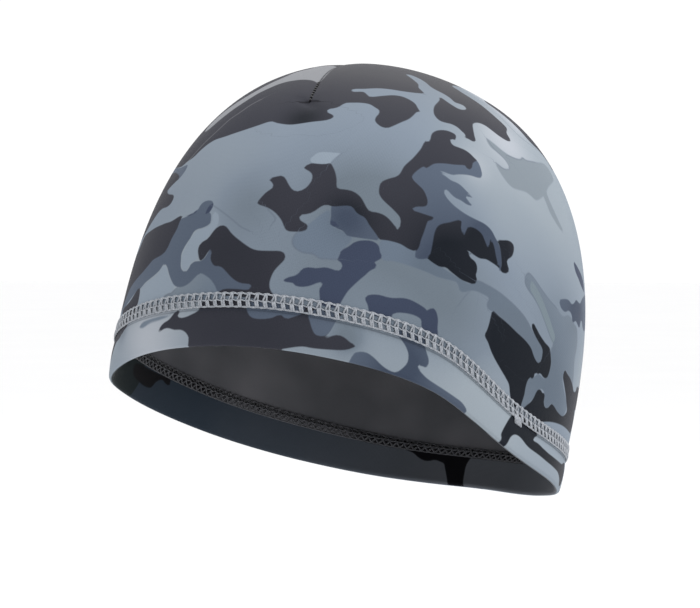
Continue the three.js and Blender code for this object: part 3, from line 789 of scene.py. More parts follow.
# %% The band's print outside: the part seen in the picture, then the rest
BAND_PRINT = [
    shape("slate", [(397, 333), (402, 340.5), (405.5, 346.5), (408, 355), (407, 362.5), (402, 368.5),
                    (396, 372.2), (388, 369.6), (381, 364.6), (374, 357.9), (367, 353), (360, 351.8),
                    (354, 353.4), (351.3, 357.6), (348.8, 364), (352, 372), (400, 392), (440, 410),
                    (462, 424), (466, 414), (466.6, 410.5), (465, 407), (461, 402), (455, 397.5),
                    (447, 392), (437, 385.5), (428, 379.5), (422, 374), (418, 368.5), (417.4, 364.4),
                    (421, 366), (424.5, 367.6), (427.2, 366), (428.2, 361), (426.6, 353), (425.3, 346),
                    (428, 338), (412, 328)]),
    shape("charcoal", [(159, 333.2), (160.5, 328), (164.5, 323), (170, 319.3), (172.5, 315.5), (175, 312),
                       (180.2, 310.8), (178, 315.3), (180, 317.8), (187, 316.8), (193, 313.8), (199, 310),
                       (202, 302), (250, 297), (300, 300), (345, 311), (336, 320), (330, 331), (323.8, 338.8),
                       (332, 336), (338, 335.2), (344, 337.5), (350, 342.5), (355.7, 346), (350, 349),
                       (342, 350.3), (325, 349.5), (312, 348.2), (303, 346.6), (296, 347), (288, 348.2),
                       (281, 350), (279, 358), (240, 354), (200, 356), (186, 354), (187.4, 348),
                       (188.5, 342), (189, 338), (186.5, 333), (181.5, 330), (175, 330), (168, 328.2),
                       (163, 330)]),
    shape("slate", [(246, 304), (247.5, 312), (251, 317), (257, 318.9), (266, 318.9), (273, 317.6),
                    (277, 315.5), (281, 315), (284, 317.5), (287, 318.9), (291, 317.7), (296, 316),
                    (301, 314), (305, 308), (290, 302), (260, 300)]),
    shape("slate", [(308.3, 314), (310, 322), (312, 329), (315, 334.4), (320, 336.2), (325, 336), (328, 334),
                    (332, 328), (336, 321), (339, 314), (322, 308)]),
    shape("charcoal", [(128.4, 323), (125.5, 329), (122.5, 334), (120, 339), (117.2, 342.6)],
          [(327, 180), (322, 176), (325, 168)]),
    shape("charcoal", [(514, 413.5), (511.5, 415.5), (508, 419.5), (504.5, 425), (501.5, 431), (500.2, 435.5),
                       (501.3, 438), (500.4, 441), (501, 450), (505, 452), (505.5, 446.5), (507.5, 442.5),
                       (509.5, 437.8), (513, 435), (517, 435.8), (521, 439.3), (525, 444.5), (529, 448.5),
                       (537, 454.3), (546, 461.8), (553, 467.8), (557.5, 473.5), (558.9, 480),
                       (559, 486), (562, 478), (565.5, 467), (561, 464), (556, 460), (549, 454.5),
                       (543, 449), (538, 443.8), (532.8, 440), (534.5, 437.5), (538, 435), (534, 428),
                       (524, 418)]),
    shape("mist", [(140.5, 327), (143, 323), (149, 320), (158, 317.3), (170, 314), (176, 311), (168, 316.5),
                   (158, 320.6), (150, 323.5), (143.5, 328)]),
    shape("charcoal", [], [(142, 170), (148, 166), (158, 164), (168, 166), (176, 172), (172, 180), (164, 178),
                           (158, 186), (148, 184), (145, 178)]),
    shape("slate", [], [(176, 186), (182, 178), (190, 172), (202, 168), (214, 164), (222, 170), (218, 178),
                        (206, 180), (196, 188)]),
    shape("charcoal", [], [(184, 164), (192, 162), (204, 164), (208, 171), (200, 176), (190, 173)]),
    shape("charcoal", [], [(228, 176), (234, 168), (244, 163), (256, 164), (264, 170), (258, 178),
                           (248, 176), (242, 186), (232, 188)]),
    shape("navy", [], [(262, 164), (272, 162), (284, 164), (292, 172), (286, 180), (276, 188), (268, 178)]),
    shape("charcoal", [], [(290, 162), (298, 160), (308, 164), (312, 174), (306, 184), (298, 178),
                           (294, 170)]),
]
LINING_PRINT = [
    shape("ink", [(131, 366), (131.5, 370), (134, 375), (139, 381), (144, 385), (149, 387), (152.3, 386.5),
                  (155, 383), (159, 380), (163, 379.6), (166, 383), (170, 384.6), (171, 380), (160, 374),
                  (150, 369), (140, 364)]),
    shape("ink", [(404, 449), (413, 454), (418, 458.5), (424, 461.8), (430, 462), (434, 461), (440, 463),
                  (443.5, 465), (444.5, 470), (446, 479), (447.5, 490), (461, 492), (462.3, 483), (464, 474),
                  (466, 466), (469, 461), (472, 456), (470, 450), (440, 446)]),
    shape("deep", [], [(302, 163), (316, 161), (330, 161), (337, 170), (334, 190), (318, 192), (304, 190),
                       (299, 176)]),
    shape("ink", [], [(20, 170), (34, 168), (48, 172), (46, 180), (34, 178), (26, 184)]),
    shape("deep", [], [(70, 176), (84, 172), (98, 174), (104, 182), (90, 186), (76, 184)]),
    shape("ink", [], [(120, 176), (132, 174), (142, 178), (136, 186), (126, 184)]),
]
print("shapes on the crown:", len(CROWN_PRINT), "and on the band:", len(BAND_PRINT) + len(LINING_PRINT))

# %% [markdown]
# ## From charted points to a print on the cloth
# Each shape becomes a smooth closed curve on the chart. Every point of the fine cloth mesh then keeps,
# for each tone, how far it lies inside the nearest shape, in millimetres and minus outside. The material
# cuts that distance at nought, so the print's edges stay crisp between the mesh's points.

# %% Smooth curves and distances to them
CURVE_STEPS = 5
CHUNK = 3000

# How far from an outline, or from a line, distances are kept, and how much farther they are looked for
PRINT_MARGIN = 3.0
LINE_MARGIN = 20.0
SEARCH_MARGIN = 2.2
OPEN_TONES = ("line", "painted_crease_highlight", "dart", "pucker")


def smooth_curve(points, closed):
    """A curve through every point: centripetal Catmull-Rom, which doesn't loop at tight corners."""
    if closed:
        run = np.concatenate([points[-1:], points, points[:2]])
    else:
        run = np.concatenate([2 * points[:1] - points[1:2], points, 2 * points[-1:] - points[-2:-1]])
    shares = np.linspace(0, 1, CURVE_STEPS, endpoint=False)[:, None]
    pieces = []
    for a, b, c, d in zip(run[:-3], run[1:-2], run[2:-1], run[3:]):
        k1, k2, k3 = (max(np.linalg.norm(q - p), 1e-6) ** 0.5 for p, q in ((a, b), (b, c), (c, d)))
        t1, t2, t3 = k1, k1 + k2, k1 + k2 + k3
        t = t1 + k2 * shares
        ab = a + (b - a) * t / t1
        bc = b + (c - b) * (t - t1) / k2
        cd = c + (d - c) * (t - t2) / k3
        abc = ab + (bc - ab) * t / t2
        bcd = bc + (cd - bc) * (t - t1) / (t3 - t1)
        pieces.append(abc + (bcd - abc) * (t - t1) / k2)
    return np.concatenate(pieces + ([] if closed else [points[-1:]]))


def curve_of(printed, far_wall=False):
    """Chart places of a printed shape's outline, or of a line."""
    places = [land(printed.seen, far_wall)] if printed.seen else []
    places += [np.array([polar(*place)]) for place in printed.beyond]
    return smooth_curve(np.concatenate(places), printed.tone not in OPEN_TONES)


def distance_to(points, curve, closed):
    """Least distance in space from each point to a curve, and on which side of an open curve it lies."""
    starts = outside_point(*from_chart(curve))
    ends = np.roll(starts, -1, axis=0)
    if not closed:
        starts, ends = starts[:-1], ends[:-1]
    runs = ends - starts
    squares = np.maximum((runs**2).sum(1), 1e-9)
    least, sides = [np.zeros(0)], [np.zeros(0)]
    for first in range(0, len(points), CHUNK):
        here = points[first : first + CHUNK]
        away = here[:, None, :] - starts[None, :, :]
        shares = np.clip((away * runs).sum(2) / squares, 0, 1)
        distances = np.linalg.norm(away - shares[..., None] * runs, axis=2)
        nearest = distances.argmin(1)
        rows = np.arange(len(here))
        turn = (np.cross(runs[nearest], away[rows, nearest]) * here).sum(1)
        least.append(distances[rows, nearest])
        sides.append(np.where(turn > 0, 1.0, -1.0))
    return np.concatenate(least), np.concatenate(sides)


def lies_inside(places, curve):
    """Whether each chart place lies inside a closed curve, by counting crossings."""
    inside = np.zeros(len(places), bool)
    for (ax, ay), (bx, by) in zip(curve, np.roll(curve, -1, axis=0)):
        spans = (ay > places[:, 1]) != (by > places[:, 1])
        if spans.any():
            crossing = ax + (places[:, 1] - ay) * (bx - ax) / (by - ay if by != ay else 1e-9)
            inside ^= spans & (places[:, 0] < crossing)
    return inside


def print_fields(places, points, shapes, far_wall=False):
    """For each tone, how far each point lies inside that tone's shapes; for a line, how far beside it."""
    fields = {}
    for printed in shapes:
        curve = curve_of(printed, far_wall)
        closed = printed.tone not in OPEN_TONES
        limit = PRINT_MARGIN if closed else LINE_MARGIN
        low, high = curve.min(0) - SEARCH_MARGIN * limit, curve.max(0) + SEARCH_MARGIN * limit
        near = np.all((places > low) & (places < high), axis=1)
        away, side = distance_to(points[near], curve, closed)
        if closed:
            signed = np.where(lies_inside(places[near], curve), away, -away)
            field = fields.setdefault(printed.tone, np.full(len(places), -limit))
            field[near] = np.maximum(field[near], np.clip(signed, -limit, limit))
        else:
            signed = np.clip(away * side, -limit, limit)
            field = fields.setdefault(printed.tone, np.full(len(places), limit))
            field[near] = np.where(np.abs(signed) < np.abs(field[near]), signed, field[near])
    return fields


# %% Washes of lighter and darker colour: partly dye, partly painted light and shade
# Bright lightens the ground and dim darkens it: partly a paler and a greyer ground in the print, partly
# painted light and shade. Glow is a painted highlight on the ground. Dusk darkens the tones with painted
# shade low on the cap and under the dart's fold, and with darker dye in a few places. Fade is a painted grey
# highlight over the top of the crown.
# Each wash lies round a place of the picture, with its reach in millimetres and its strength there.
Wash = namedtuple("Wash", "kind place reach share")
WASHES = [
    # Lighter ground: partly a paler print, partly painted light on the lit side
    Wash("bright", (562, 215), 38, 0.9),
    Wash("bright", (515, 150), 24, 1.0),
    Wash("bright", (478, 170), 16, 0.6),
    Wash("bright", (580, 385), 18, 0.8),
    Wash("bright", (505, 228), 12, 0.3),
    Wash("bright", (225, 150), 26, 0.35),
    Wash("bright", (165, 275), 20, 0.7),
    Wash("bright", (190, 245), 12, 0.4),
    Wash("bright", (480, 400), 24, 0.6),
    # Painted highlights on the ground
    Wash("painted_highlight", (505, 142), 14, 1.0),
    Wash("painted_highlight", (474, 93), 6, 0.8),
    Wash("painted_highlight", (496, 109), 6, 0.8),
    Wash("painted_highlight", (515, 126), 6, 0.8),
    Wash("painted_highlight", (148, 338), 15, 0.9),
    Wash("painted_highlight", (475, 165), 7, 0.5),
    # Darker ground: partly a greyer print, partly painted shade
    Wash("dim", (385, 208), 20, 1.0),
    Wash("dim", (345, 195), 16, 0.5),
    Wash("dim", (315, 265), 22, 0.6),
    Wash("dim", (420, 275), 24, 0.6),
    Wash("dim", (460, 310), 22, 0.6),
    Wash("dim", (250, 205), 12, 0.6),
    Wash("dim", (346, 338), 6, 0.9),
    Wash("dim", (560, 320), 20, 0.4),
    # Darker tones: painted shade low on the cap, and darker dye in a few places
    Wash("dark_dye_and_painted_shade", (240, 270), 32, 0.3),
    Wash("dark_dye_and_painted_shade", (450, 255), 28, 0.6),
    Wash("dark_dye_and_painted_shade", (492, 242), 10, 1.0),
    Wash("dark_dye_and_painted_shade", (400, 366), 12, 1.0),
    Wash("dark_dye_and_painted_shade", (577, 311), 11, 1.0),
    Wash("dark_dye_and_painted_shade", (445, 276), 12, 0.9),
    Wash("dark_dye_and_painted_shade", (350, 225), 13, 0.45),
    Wash("dark_dye_and_painted_shade", (346, 217), 7, 0.5),
    Wash("dim", (124, 331), 5, 0.8),
    Wash("dark_dye_and_painted_shade", (520, 355), 36, 0.9),
    Wash("dark_dye_and_painted_shade", (540, 430), 30, 1.0),
    # A painted shadow under the fold at the dart's tip
    Wash("dark_dye_and_painted_shade", (303, 117), 7, 0.9),
    # A painted grey highlight over the top of the crown
    Wash("fade", (360, 66), 30, 1.0),
    Wash("fade", (440, 80), 26, 0.8),
    Wash("fade", (490, 112), 14, 0.2),
]


# The washes are partly dye and partly painted light and shade
WASH_KINDS = ("bright", "painted_highlight", "dim", "dark_dye_and_painted_shade")
print("washes of the dye:", len(WASHES))


def washed(points, kind):
    """How strongly one kind of wash colours each point."""
    total = np.zeros(len(points))
    for wash in WASHES:
        if wash.kind == kind:
            middle = outside_point(*from_chart(land([wash.place])[0]))
            away = np.linalg.norm(points - middle, axis=1) / wash.reach
            total += wash.share * np.exp(-(away**2))
    return np.clip(total, 0, 1)


# %% [markdown]
# ## The crown
# The crown is one layer of knit. A sewn dart starts in a small dimple at the front of the top and runs
# back over the head. The mesh is a closed skin: a fine outside that carries the print, and a plainer
# inside one cloth's thickness in, joined at the lower edge.

# %% The dart's groove and the dimple at its tip
DART_TIP_FRONT = 75
DART_TIP_SIDE = 17
DART_TIP_BACK = 72
DART_BEND = 1.3
DART_STRAIGHT_FROM = 40
SEAM_DEPTH = 0.7
SEAM_GROOVE = 1.2
SHOULDER_DEPTH = 0.4
SHOULDER_REACH = 9
DIMPLE_DEPTH = 1.0
DIMPLE_REACH = 9
DIMPLE_AHEAD = 3
DIMPLE_NARROWING = 0.8
TIP_FOLD_AHEAD = 0.6
TIP_FOLD_DEPTH = 0.9
TIP_FOLD_HEIGHT = 1.0
TIP_FOLD_LENGTH = 4.5
PUCKER_DEPTH = 0.22
PUCKER_PITCH = 3.15
PUCKER_REACH = 4.5
PUCKER_UNEVENNESS = 0.4
PUCKER_SWELLS = (11, 17)


def ease(share):
    """A smooth step from nought to one."""
    share = np.clip(share, 0, 1)
    return share * share * (3 - 2 * share)


def dart_side(y):
    """How far the dart lies to the wearer's left at a distance from front to back."""
    share = (-y - DART_STRAIGHT_FROM) / (DART_TIP_FRONT - DART_STRAIGHT_FROM)
    return DART_TIP_SIDE * np.clip(share, 0, 1) ** DART_BEND


def dart_depth(points):
    """How deep the dart and its dimple draw the cloth in."""
    x, y, z = points[..., 0], points[..., 1], points[..., 2]
    past_tip = np.maximum(np.maximum(-y - DART_TIP_FRONT, y - DART_TIP_BACK), 0)
    off_seam = np.hypot(x - dart_side(y), past_tip)
    groove = SEAM_DEPTH * np.exp(-((off_seam / SEAM_GROOVE) ** 2))
    shoulder = SHOULDER_DEPTH * ease(1 - off_seam / SHOULDER_REACH)
    off_dimple = np.hypot(x - DART_TIP_SIDE, (y + DART_TIP_FRONT + DIMPLE_AHEAD) * DIMPLE_NARROWING)
    dimple = DIMPLE_DEPTH * ease(1 - off_dimple / DIMPLE_REACH)
    fold = np.exp(-(((y + DART_TIP_FRONT + TIP_FOLD_AHEAD) / TIP_FOLD_HEIGHT) ** 2))
    fold = fold * np.exp(-(((x - DART_TIP_SIDE) / TIP_FOLD_LENGTH) ** 2))
    depth = np.maximum(groove + shoulder, dimple) + TIP_FOLD_DEPTH * fold
    return np.where(z > WIDEST_LEVEL, depth, 0)


def pucker(azimuth, up):
    """Small ripples that the seam's stitches draw into the cloth beside it."""
    beside = np.minimum(np.abs(up - BAND_WIDTH), np.abs(up - SEAM_TOP))
    inside_seam = (up > BAND_WIDTH) & (up < SEAM_TOP)
    fade = np.where(inside_seam, 1, ease(1 - beside / PUCKER_REACH))
    wave = np.sin(FULL_TURN * STITCHES * np.interp(azimuth, round_azimuths, round_shares))
    swell = PUCKER_UNEVENNESS * np.sin(azimuth * PUCKER_SWELLS[0]) * np.sin(azimuth * PUCKER_SWELLS[1] + 1)
    uneven = 1 - PUCKER_UNEVENNESS + swell
    return PUCKER_DEPTH * fade * (0.5 + 0.5 * wave * uneven)


# Even steps of length round the seam, for the stitches and the ripples
ROUND_STEPS = 2000
round_azimuths = np.linspace(-math.pi, math.pi, ROUND_STEPS + 1)
round_line = on_wall(round_azimuths, JOINT, 0.0)
round_lengths = np.concatenate([[0], np.cumsum(np.linalg.norm(np.diff(round_line, axis=0), axis=1))])
round_shares = round_lengths / round_lengths[-1]
STITCHES = round(round_lengths[-1] / PUCKER_PITCH)
print("seam, mm round:", round(round_lengths[-1], 1), "stitches:", STITCHES)


# %% Meshes from grids of points
SIDE_STEPS = 800


def add_mesh(name, points, faces, material, attributes=None):
    """A piece of the object from points in the cap's frame, with named numbers at its points."""
    mesh = bpy.data.meshes.new(name)
    mesh.from_pydata(to_world(np.asarray(points)).tolist(), [], faces)
    mesh.update()
    mesh.shade_smooth()
    for label, values in (attributes or {}).items():
        layer = mesh.attributes.new(label, "FLOAT", "POINT")
        layer.data.foreach_set("value", np.asarray(values, np.float32))
    mesh.materials.append(material)
    piece = bpy.data.objects.new(name, mesh)
    bpy.context.scene.collection.objects.link(piece)
    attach(piece, "root")
    triangles = sum(len(face) - 2 for face in faces)
    print(name, "points:", len(mesh.vertices), "triangles:", triangles)
    return piece


def even_shares(rows):
    """Shares of the crown's height that give even lengths of cloth up the side."""
    steps = np.sin(np.linspace(0, math.pi / 2, SIDE_STEPS))
    heights = JOINT + (CROWN_HEIGHT - JOINT) * steps
    side = np.stack([reach_at(HALF_BREADTH, SIDE_POWER, SIDE_CLOSING, heights), heights], axis=1)
    lengths = np.concatenate([[0], np.cumsum(np.linalg.norm(np.diff(side, axis=0), axis=1))])
    return np.interp(np.arange(rows) / rows * lengths[-1], lengths, steps)


# %% The crown's points, outside and inside
CROWN_AROUND, CROWN_ROWS = 448, 152
LINING_AROUND, LINING_ROWS = 224, 76
TOP_POINT = np.array([0, CROWN_SET_BACK, CROWN_HEIGHT])
DART_LOWEST = 60


def crown_wall(around, rows, inward):
    """Rows of points up one face of the crown, with the single point at the top last."""
    azimuths = np.linspace(-math.pi, math.pi, around, endpoint=False)
    edge = height_along(azimuths, JOINT + BUTT)
    heights = edge + (CROWN_HEIGHT - edge) * even_shares(rows)[:, None]
    turned = np.broadcast_to(azimuths, heights.shape)
    points = outside_point(turned, heights)
    up = np.linalg.norm(points - points[0], axis=2) + JOINT
    depth = dart_depth(points) + pucker(turned, up) + inward
    wall = (points - depth[..., None] * outside_normal(turned, heights)).reshape(-1, 3)
    top = np.array([[0, CROWN_SET_BACK, CROWN_HEIGHT - inward - dart_depth(TOP_POINT)]])
    smooth = np.concatenate([points.reshape(-1, 3), [TOP_POINT]])
    places = np.concatenate([to_chart(turned, heights).reshape(-1, 2), [[0, 0]]])
    return np.concatenate([wall, top]), smooth, places


outer, outer_smooth, outer_places = crown_wall(CROWN_AROUND, CROWN_ROWS, 0.0)
lining, _, _ = crown_wall(LINING_AROUND, LINING_ROWS, CLOTH)

crown_faces = ring_faces(0, CROWN_AROUND, CROWN_ROWS)
outer_top = CROWN_AROUND * CROWN_ROWS
last = outer_top - CROWN_AROUND
crown_faces += [(last + i, last + (i + 1) % CROWN_AROUND, outer_top) for i in range(CROWN_AROUND)]
lining_first = outer_top + 1
crown_faces += [face[::-1] for face in ring_faces(lining_first, LINING_AROUND, LINING_ROWS)]
lining_top = lining_first + LINING_AROUND * LINING_ROWS
last = lining_top - LINING_AROUND
crown_faces += [(last + (i + 1) % LINING_AROUND, last + i, lining_top) for i in range(LINING_AROUND)]

# The lower edge: each step of the lining meets two steps of the finer outside
for i in range(LINING_AROUND):
    j = (i + 1) % LINING_AROUND
    outside_edge = [(2 * i + 2) % CROWN_AROUND, 2 * i + 1, 2 * i]
    crown_faces.append((*outside_edge, lining_first + i, lining_first + j))

crown_fields = print_fields(outer_places, outer_smooth, CROWN_PRINT + CROWN_LINES + PAINTED_FOLD_SHADOW_AND_HIGHLIGHT)
for kind in (*WASH_KINDS, "fade"):
    crown_fields[kind] = washed(outer_smooth, kind)

# Beside the dart, for the thin dark line of its stitching
off_dart = outer_smooth[:, 0] - dart_side(outer_smooth[:, 1])
on_dart = (outer_smooth[:, 2] > DART_LOWEST) & (np.abs(outer_smooth[:, 1]) < DART_TIP_FRONT)
crown_fields["dart"] = np.where(on_dart, np.clip(off_dart, -LINE_MARGIN, LINE_MARGIN), LINE_MARGIN)
print("crown tones:", {tone: int((field > 0).sum()) for tone, field in crown_fields.items()})

# %% [markdown]
# ## Shader sums as plain expressions
# A material is a small sum worked out at every point of a surface. One class wraps a socket, so that
# the sum can be written with the usual signs, and one method adds any other node.


# %% A socket that can be reckoned with
# Sockets picked out by number, because some nodes give several of theirs one name
FACTOR_OUTPUT = 2
OBJECT_PLACE_OUTPUT = 3
MIX_SHARE, MIX_LOW, MIX_HIGH, MIX_COLOUR_OUTPUT = 0, 6, 7, 2


class Value:
    """The output of a shader node, for use in plain expressions."""

    def __init__(self, tree, socket):
        self.tree = tree
        self.socket = socket

    def node(self, kind, settings=None, values=None, output=0):
        """Adds a node: its settings first, then the values or links of its sockets."""
        made = self.tree.nodes.new(kind)
        for name, setting in (settings or {}).items():
            setattr(made, name, setting)
        for name, value in (values or {}).items():
            if isinstance(value, Value):
                self.tree.links.new(value.socket, made.inputs[name])
            else:
                made.inputs[name].default_value = value
        return Value(self.tree, made.outputs[output])

    def math(self, operation, *values):
        return self.node("ShaderNodeMath", {"operation": operation}, dict(enumerate(values)))

    def __add__(self, other):
        return self.math("ADD", self, other)

    def __sub__(self, other):
        return self.math("SUBTRACT", self, other)

    def __rsub__(self, other):
        return self.math("SUBTRACT", other, self)

    def __mul__(self, other):
        return self.math("MULTIPLY", self, other)

    def __truediv__(self, other):
        return self.math("DIVIDE", self, other)

    def clamp(self):
        """Kept between nought and one."""
        return self.node("ShaderNodeClamp", None, {"Value": self})

    def mix(self, low, high):
        """A colour between two, by this share."""
        ends = {MIX_SHARE: self, MIX_LOW: low, MIX_HIGH: high}
        return self.node("ShaderNodeMix", {"data_type": "RGBA"}, ends, MIX_COLOUR_OUTPUT)


def tint(red, green, blue):
    """A colour as a picture program names it, as Blender's linear red, green, blue and alpha."""
    levels = [level / 255 for level in (red, green, blue)]
    return (*[((v + 0.055) / 1.055) ** 2.4 if v > 0.04045 else v / 12.92 for v in levels], 1.0)


def new_material(name, roughness, sheen=0.0):
    """A cloth or thread material, the wrapper to build its sums with, and its shader."""
    material = bpy.data.materials.new(name)
    material.use_nodes = True
    tree = material.node_tree
    shader = tree.nodes["Principled BSDF"]
    shader.inputs["Roughness"].default_value = roughness
    shader.inputs["IOR"].default_value = 1.2
    shader.inputs["Sheen Weight"].default_value = sheen
    shader.inputs["Sheen Roughness"].default_value = 0.35
    return material, Value(tree, None), shader


def feed(shader, socket, value):
    """Links a value to one of the shader's sockets."""
    value.tree.links.new(value.socket, shader.inputs[socket])


def attribute(start, name):
    """A number that the mesh keeps at its points."""
    return start.node("ShaderNodeAttribute", {"attribute_name": name}, None, FACTOR_OUTPUT)


def noise(start, scale, detail):
    """Soft cloudy noise in the space of the piece, with as many clouds to the metre as the scale."""
    place = start.node("ShaderNodeTexCoord", None, None, OBJECT_PLACE_OUTPUT)
    return start.node("ShaderNodeTexNoise", None, {"Vector": place, "Scale": scale, "Detail": detail})


def cloud_of(drift):
    """A small soft change about nought."""
    return (drift - 0.5) * 0.5


def bumped(start, height, strength, distance):
    """A normal from a height over the surface."""
    return start.node("ShaderNodeBump", None, {"Strength": strength, "Distance": distance, "Height": height})


# %% [markdown]
# ## Printed knit
# The cloth is a fine matt stretch knit. Dye lies in it rather than on it, so all tones share one
# roughness, the ground shifts a little from place to place, and each mist shape has a thin darker
# edge. Washes also paint light and shade into the colours. A fine rib of knit stitches is left to the bump.

# %% Tones of the print
# Each tone as it mostly is, and darker, for painted shade and for darker dye in a few places
TONES = {
    "mist": (tint(98, 110, 125), tint(84, 95, 108)),
    "slate": (tint(80, 90, 105), tint(55, 64, 80)),
    "navy": (tint(55, 63, 82), tint(50, 58, 76)),
    "charcoal": (tint(50, 51, 59), tint(15, 20, 28)),
    "pale": (tint(109, 121, 129), tint(104, 116, 124)),
    "glint": (tint(128, 139, 151), tint(120, 131, 143)),
    # A painted reflection over the top of the crown, not a tone of the print
    "painted_reflection": (tint(130, 132, 137), tint(130, 132, 137)),
    "deep": (tint(15, 25, 28), tint(15, 25, 28)),
    "ink": (tint(4, 4, 8), tint(4, 4, 8)),
}
# The dim and bright ground colours are partly print and partly painted light and shade; the ground's glow
# colour is a painted highlight
GROUND = tint(116, 127, 140)
GROUND_DIM = tint(97, 107, 117)
GROUND_BRIGHT = tint(134, 143, 151)
GROUND_PAINTED_HIGHLIGHT = tint(160, 165, 173)
MIST_BRIGHT = tint(116, 125, 133)
MIST_EDGE = tint(92, 102, 116)
MIST_EDGE_SHARE = 0.35
MIST_EDGE_HALF_WIDTH = 0.6
EDGE_SOFTNESS = 0.45
DRIFT_SCALE, DRIFT_DETAIL = 22.0, 2.0
MOTTLE_SCALE, MOTTLE_DETAIL = 160.0, 3.0
KNIT_PITCH = 0.00055
RIB_SHARE, LOOP_SHARE = 0.6, 0.4
KNIT_BUMP, KNIT_BUMP_HEIGHT = 0.25, 0.0002
CLOTH_ROUGHNESS, CLOTH_SHEEN = 0.85, 0.06


def inside_mask(start, name, softness=EDGE_SOFTNESS):
    """One inside a tone's shapes and nought outside, with a soft change of this many millimetres."""
    return (attribute(start, name) / softness + 0.5).clamp()


def line_mask(start, tone, half_width):
    """One on a line, or on the edge of a tone's shapes, fading to nought beside it."""
    beside = attribute(start, tone)
    return (1 - beside.math("ABSOLUTE", beside) / half_width).clamp()


def printed_colour(start, tones, bright):
    """The tones laid over the ground in painter's order, with washes of partly dye and partly painted light
    and shade, and the drift that clouds them.
    """
    drift = noise(start, DRIFT_SCALE, DRIFT_DETAIL)
    cloud = cloud_of(drift)
    dark_dye_and_painted_shade = attribute(start, "dark_dye_and_painted_shade")
    colour = (attribute(start, "dim") + cloud).clamp().mix(GROUND, GROUND_DIM)
    lit = attribute(start, "bright") + bright - attribute(start, "dim") + cloud
    colour = lit.clamp().mix(colour, GROUND_BRIGHT)
    # Painted highlights on the ground
    colour = attribute(start, "painted_highlight").clamp().mix(colour, GROUND_PAINTED_HIGHLIGHT)
    for tone in tones:
        full, dark = TONES[tone]
        # Tones darkened by painted shade, and by darker dye in a few places
        ink = (dark_dye_and_painted_shade + cloud).clamp().mix(full, dark)
        if tone == "mist":
            ink = attribute(start, "bright").clamp().mix(ink, MIST_BRIGHT)
            edge = line_mask(start, tone, MIST_EDGE_HALF_WIDTH) * MIST_EDGE_SHARE
            colour = edge.mix(colour, MIST_EDGE)
        colour = inside_mask(start, tone).mix(colour, ink)
    return colour, drift


def knit_height(start):
    """Fine ribs of knit, from the place on the cloth."""
    cloth = start.node("ShaderNodeUVMap", {"uv_map": "cloth"})
    split = cloth.tree.nodes.new("ShaderNodeSeparateXYZ")
    cloth.tree.links.new(cloth.socket, split.inputs[0])
    waves = [Value(cloth.tree, split.outputs[axis]) * (FULL_TURN / KNIT_PITCH) for axis in (0, 1)]
    rib, loop = (wave.math("SINE", wave) for wave in waves)
    return rib * RIB_SHARE + loop * LOOP_SHARE


def knit_normal(start):
    """The normal of the knit: half of it even ribs, and half a soft mottle."""
    mottle = noise(start, MOTTLE_SCALE, MOTTLE_DETAIL)
    return bumped(start, mottle * 0.5 + knit_height(start) * 0.5, KNIT_BUMP, KNIT_BUMP_HEIGHT)


# %% The shade between the loops of the seam's inside
UNDER_SEAM = tint(30, 30, 34)
UNDER_SEAM_PALE = tint(104, 104, 109)
UNDER_SEAM_SOFTNESS = 0.3
SHADE_LOW = BAND_WIDTH + 0.1
SHADE_TOP = BAND_WIDTH + 4.3
LOOPER_TOP = BAND_WIDTH + 4.4

# The picture's right in the cap's own x and y, and where along it the loops are seen square on
RIGHT_FROM_X, RIGHT_FROM_Y = 0.77, 0.64
SQUARE_ON_MIDDLE = -25
SQUARE_ON_HALF = 22
SQUARE_ON_FADE = 12


def across_picture(points):
    """How far each point lies to the right of the cap's axis in the picture, in millimetres."""
    return RIGHT_FROM_X * points[:, 0] + RIGHT_FROM_Y * points[:, 1]


def end_on(points):
    """One where the seam's inside is seen along its length, so that the gaps between loops look dark."""
    off_middle = np.abs(across_picture(points) - SQUARE_ON_MIDDLE)
    return np.clip((off_middle - SQUARE_ON_HALF) / SQUARE_ON_FADE, 0, 1)


def with_shade(start, colour):
    """A colour of the inside, with the shade under the seam's loops laid over it."""
    shade = attribute(start, "end_on").mix(UNDER_SEAM_PALE, UNDER_SEAM)
    return inside_mask(start, "under_seam", UNDER_SEAM_SOFTNESS).mix(colour, shade)


# %% Crown cloth
# The last tone here is no print but a painted reflection over the top of the crown
PRINT_ORDER = ["mist", "pale", "glint", "slate", "navy", "charcoal", "painted_reflection"]
LINING_COLOUR = tint(75, 76, 80)
# The inside's lighter patches are painted highlights on soft folds
LINING_PAINTED_HIGHLIGHT = tint(95, 95, 99)
LINING_HIGHLIGHT_FROM, LINING_HIGHLIGHT_GAIN = 0.42, 4.0
# Colour and strength of the painted grey highlight over the top of the crown
PAINTED_TOP_HIGHLIGHT, PAINTED_TOP_HIGHLIGHT_SHARE = tint(104, 103, 102), 0.27

Stroke = namedtuple("Stroke", "tone half_width share colour")
# The crease stroke is a painted highlight, and the pucker stroke a painted shadow in the fold at the dart's
# tip
STROKES = [
    Stroke("line", 0.55, 0.5, tint(88, 97, 110)),
    Stroke("painted_crease_highlight", 0.6, 0.5, tint(120, 120, 124)),
    Stroke("dart", 0.6, 0.9, tint(20, 21, 29)),
    Stroke("pucker", 0.9, 0.85, tint(16, 16, 22)),
]

crown_cloth, start, shader = new_material("crown_cloth", CLOTH_ROUGHNESS, CLOTH_SHEEN)
colour, drift = printed_colour(start, PRINT_ORDER, 0.0)
# The fade washes lay a painted grey highlight over the top of the crown
colour = (attribute(start, "fade").clamp() * PAINTED_TOP_HIGHLIGHT_SHARE).mix(colour, PAINTED_TOP_HIGHLIGHT)
for stroke in STROKES:
    mask = line_mask(start, stroke.tone, stroke.half_width) * stroke.share
    colour = mask.mix(colour, stroke.colour)
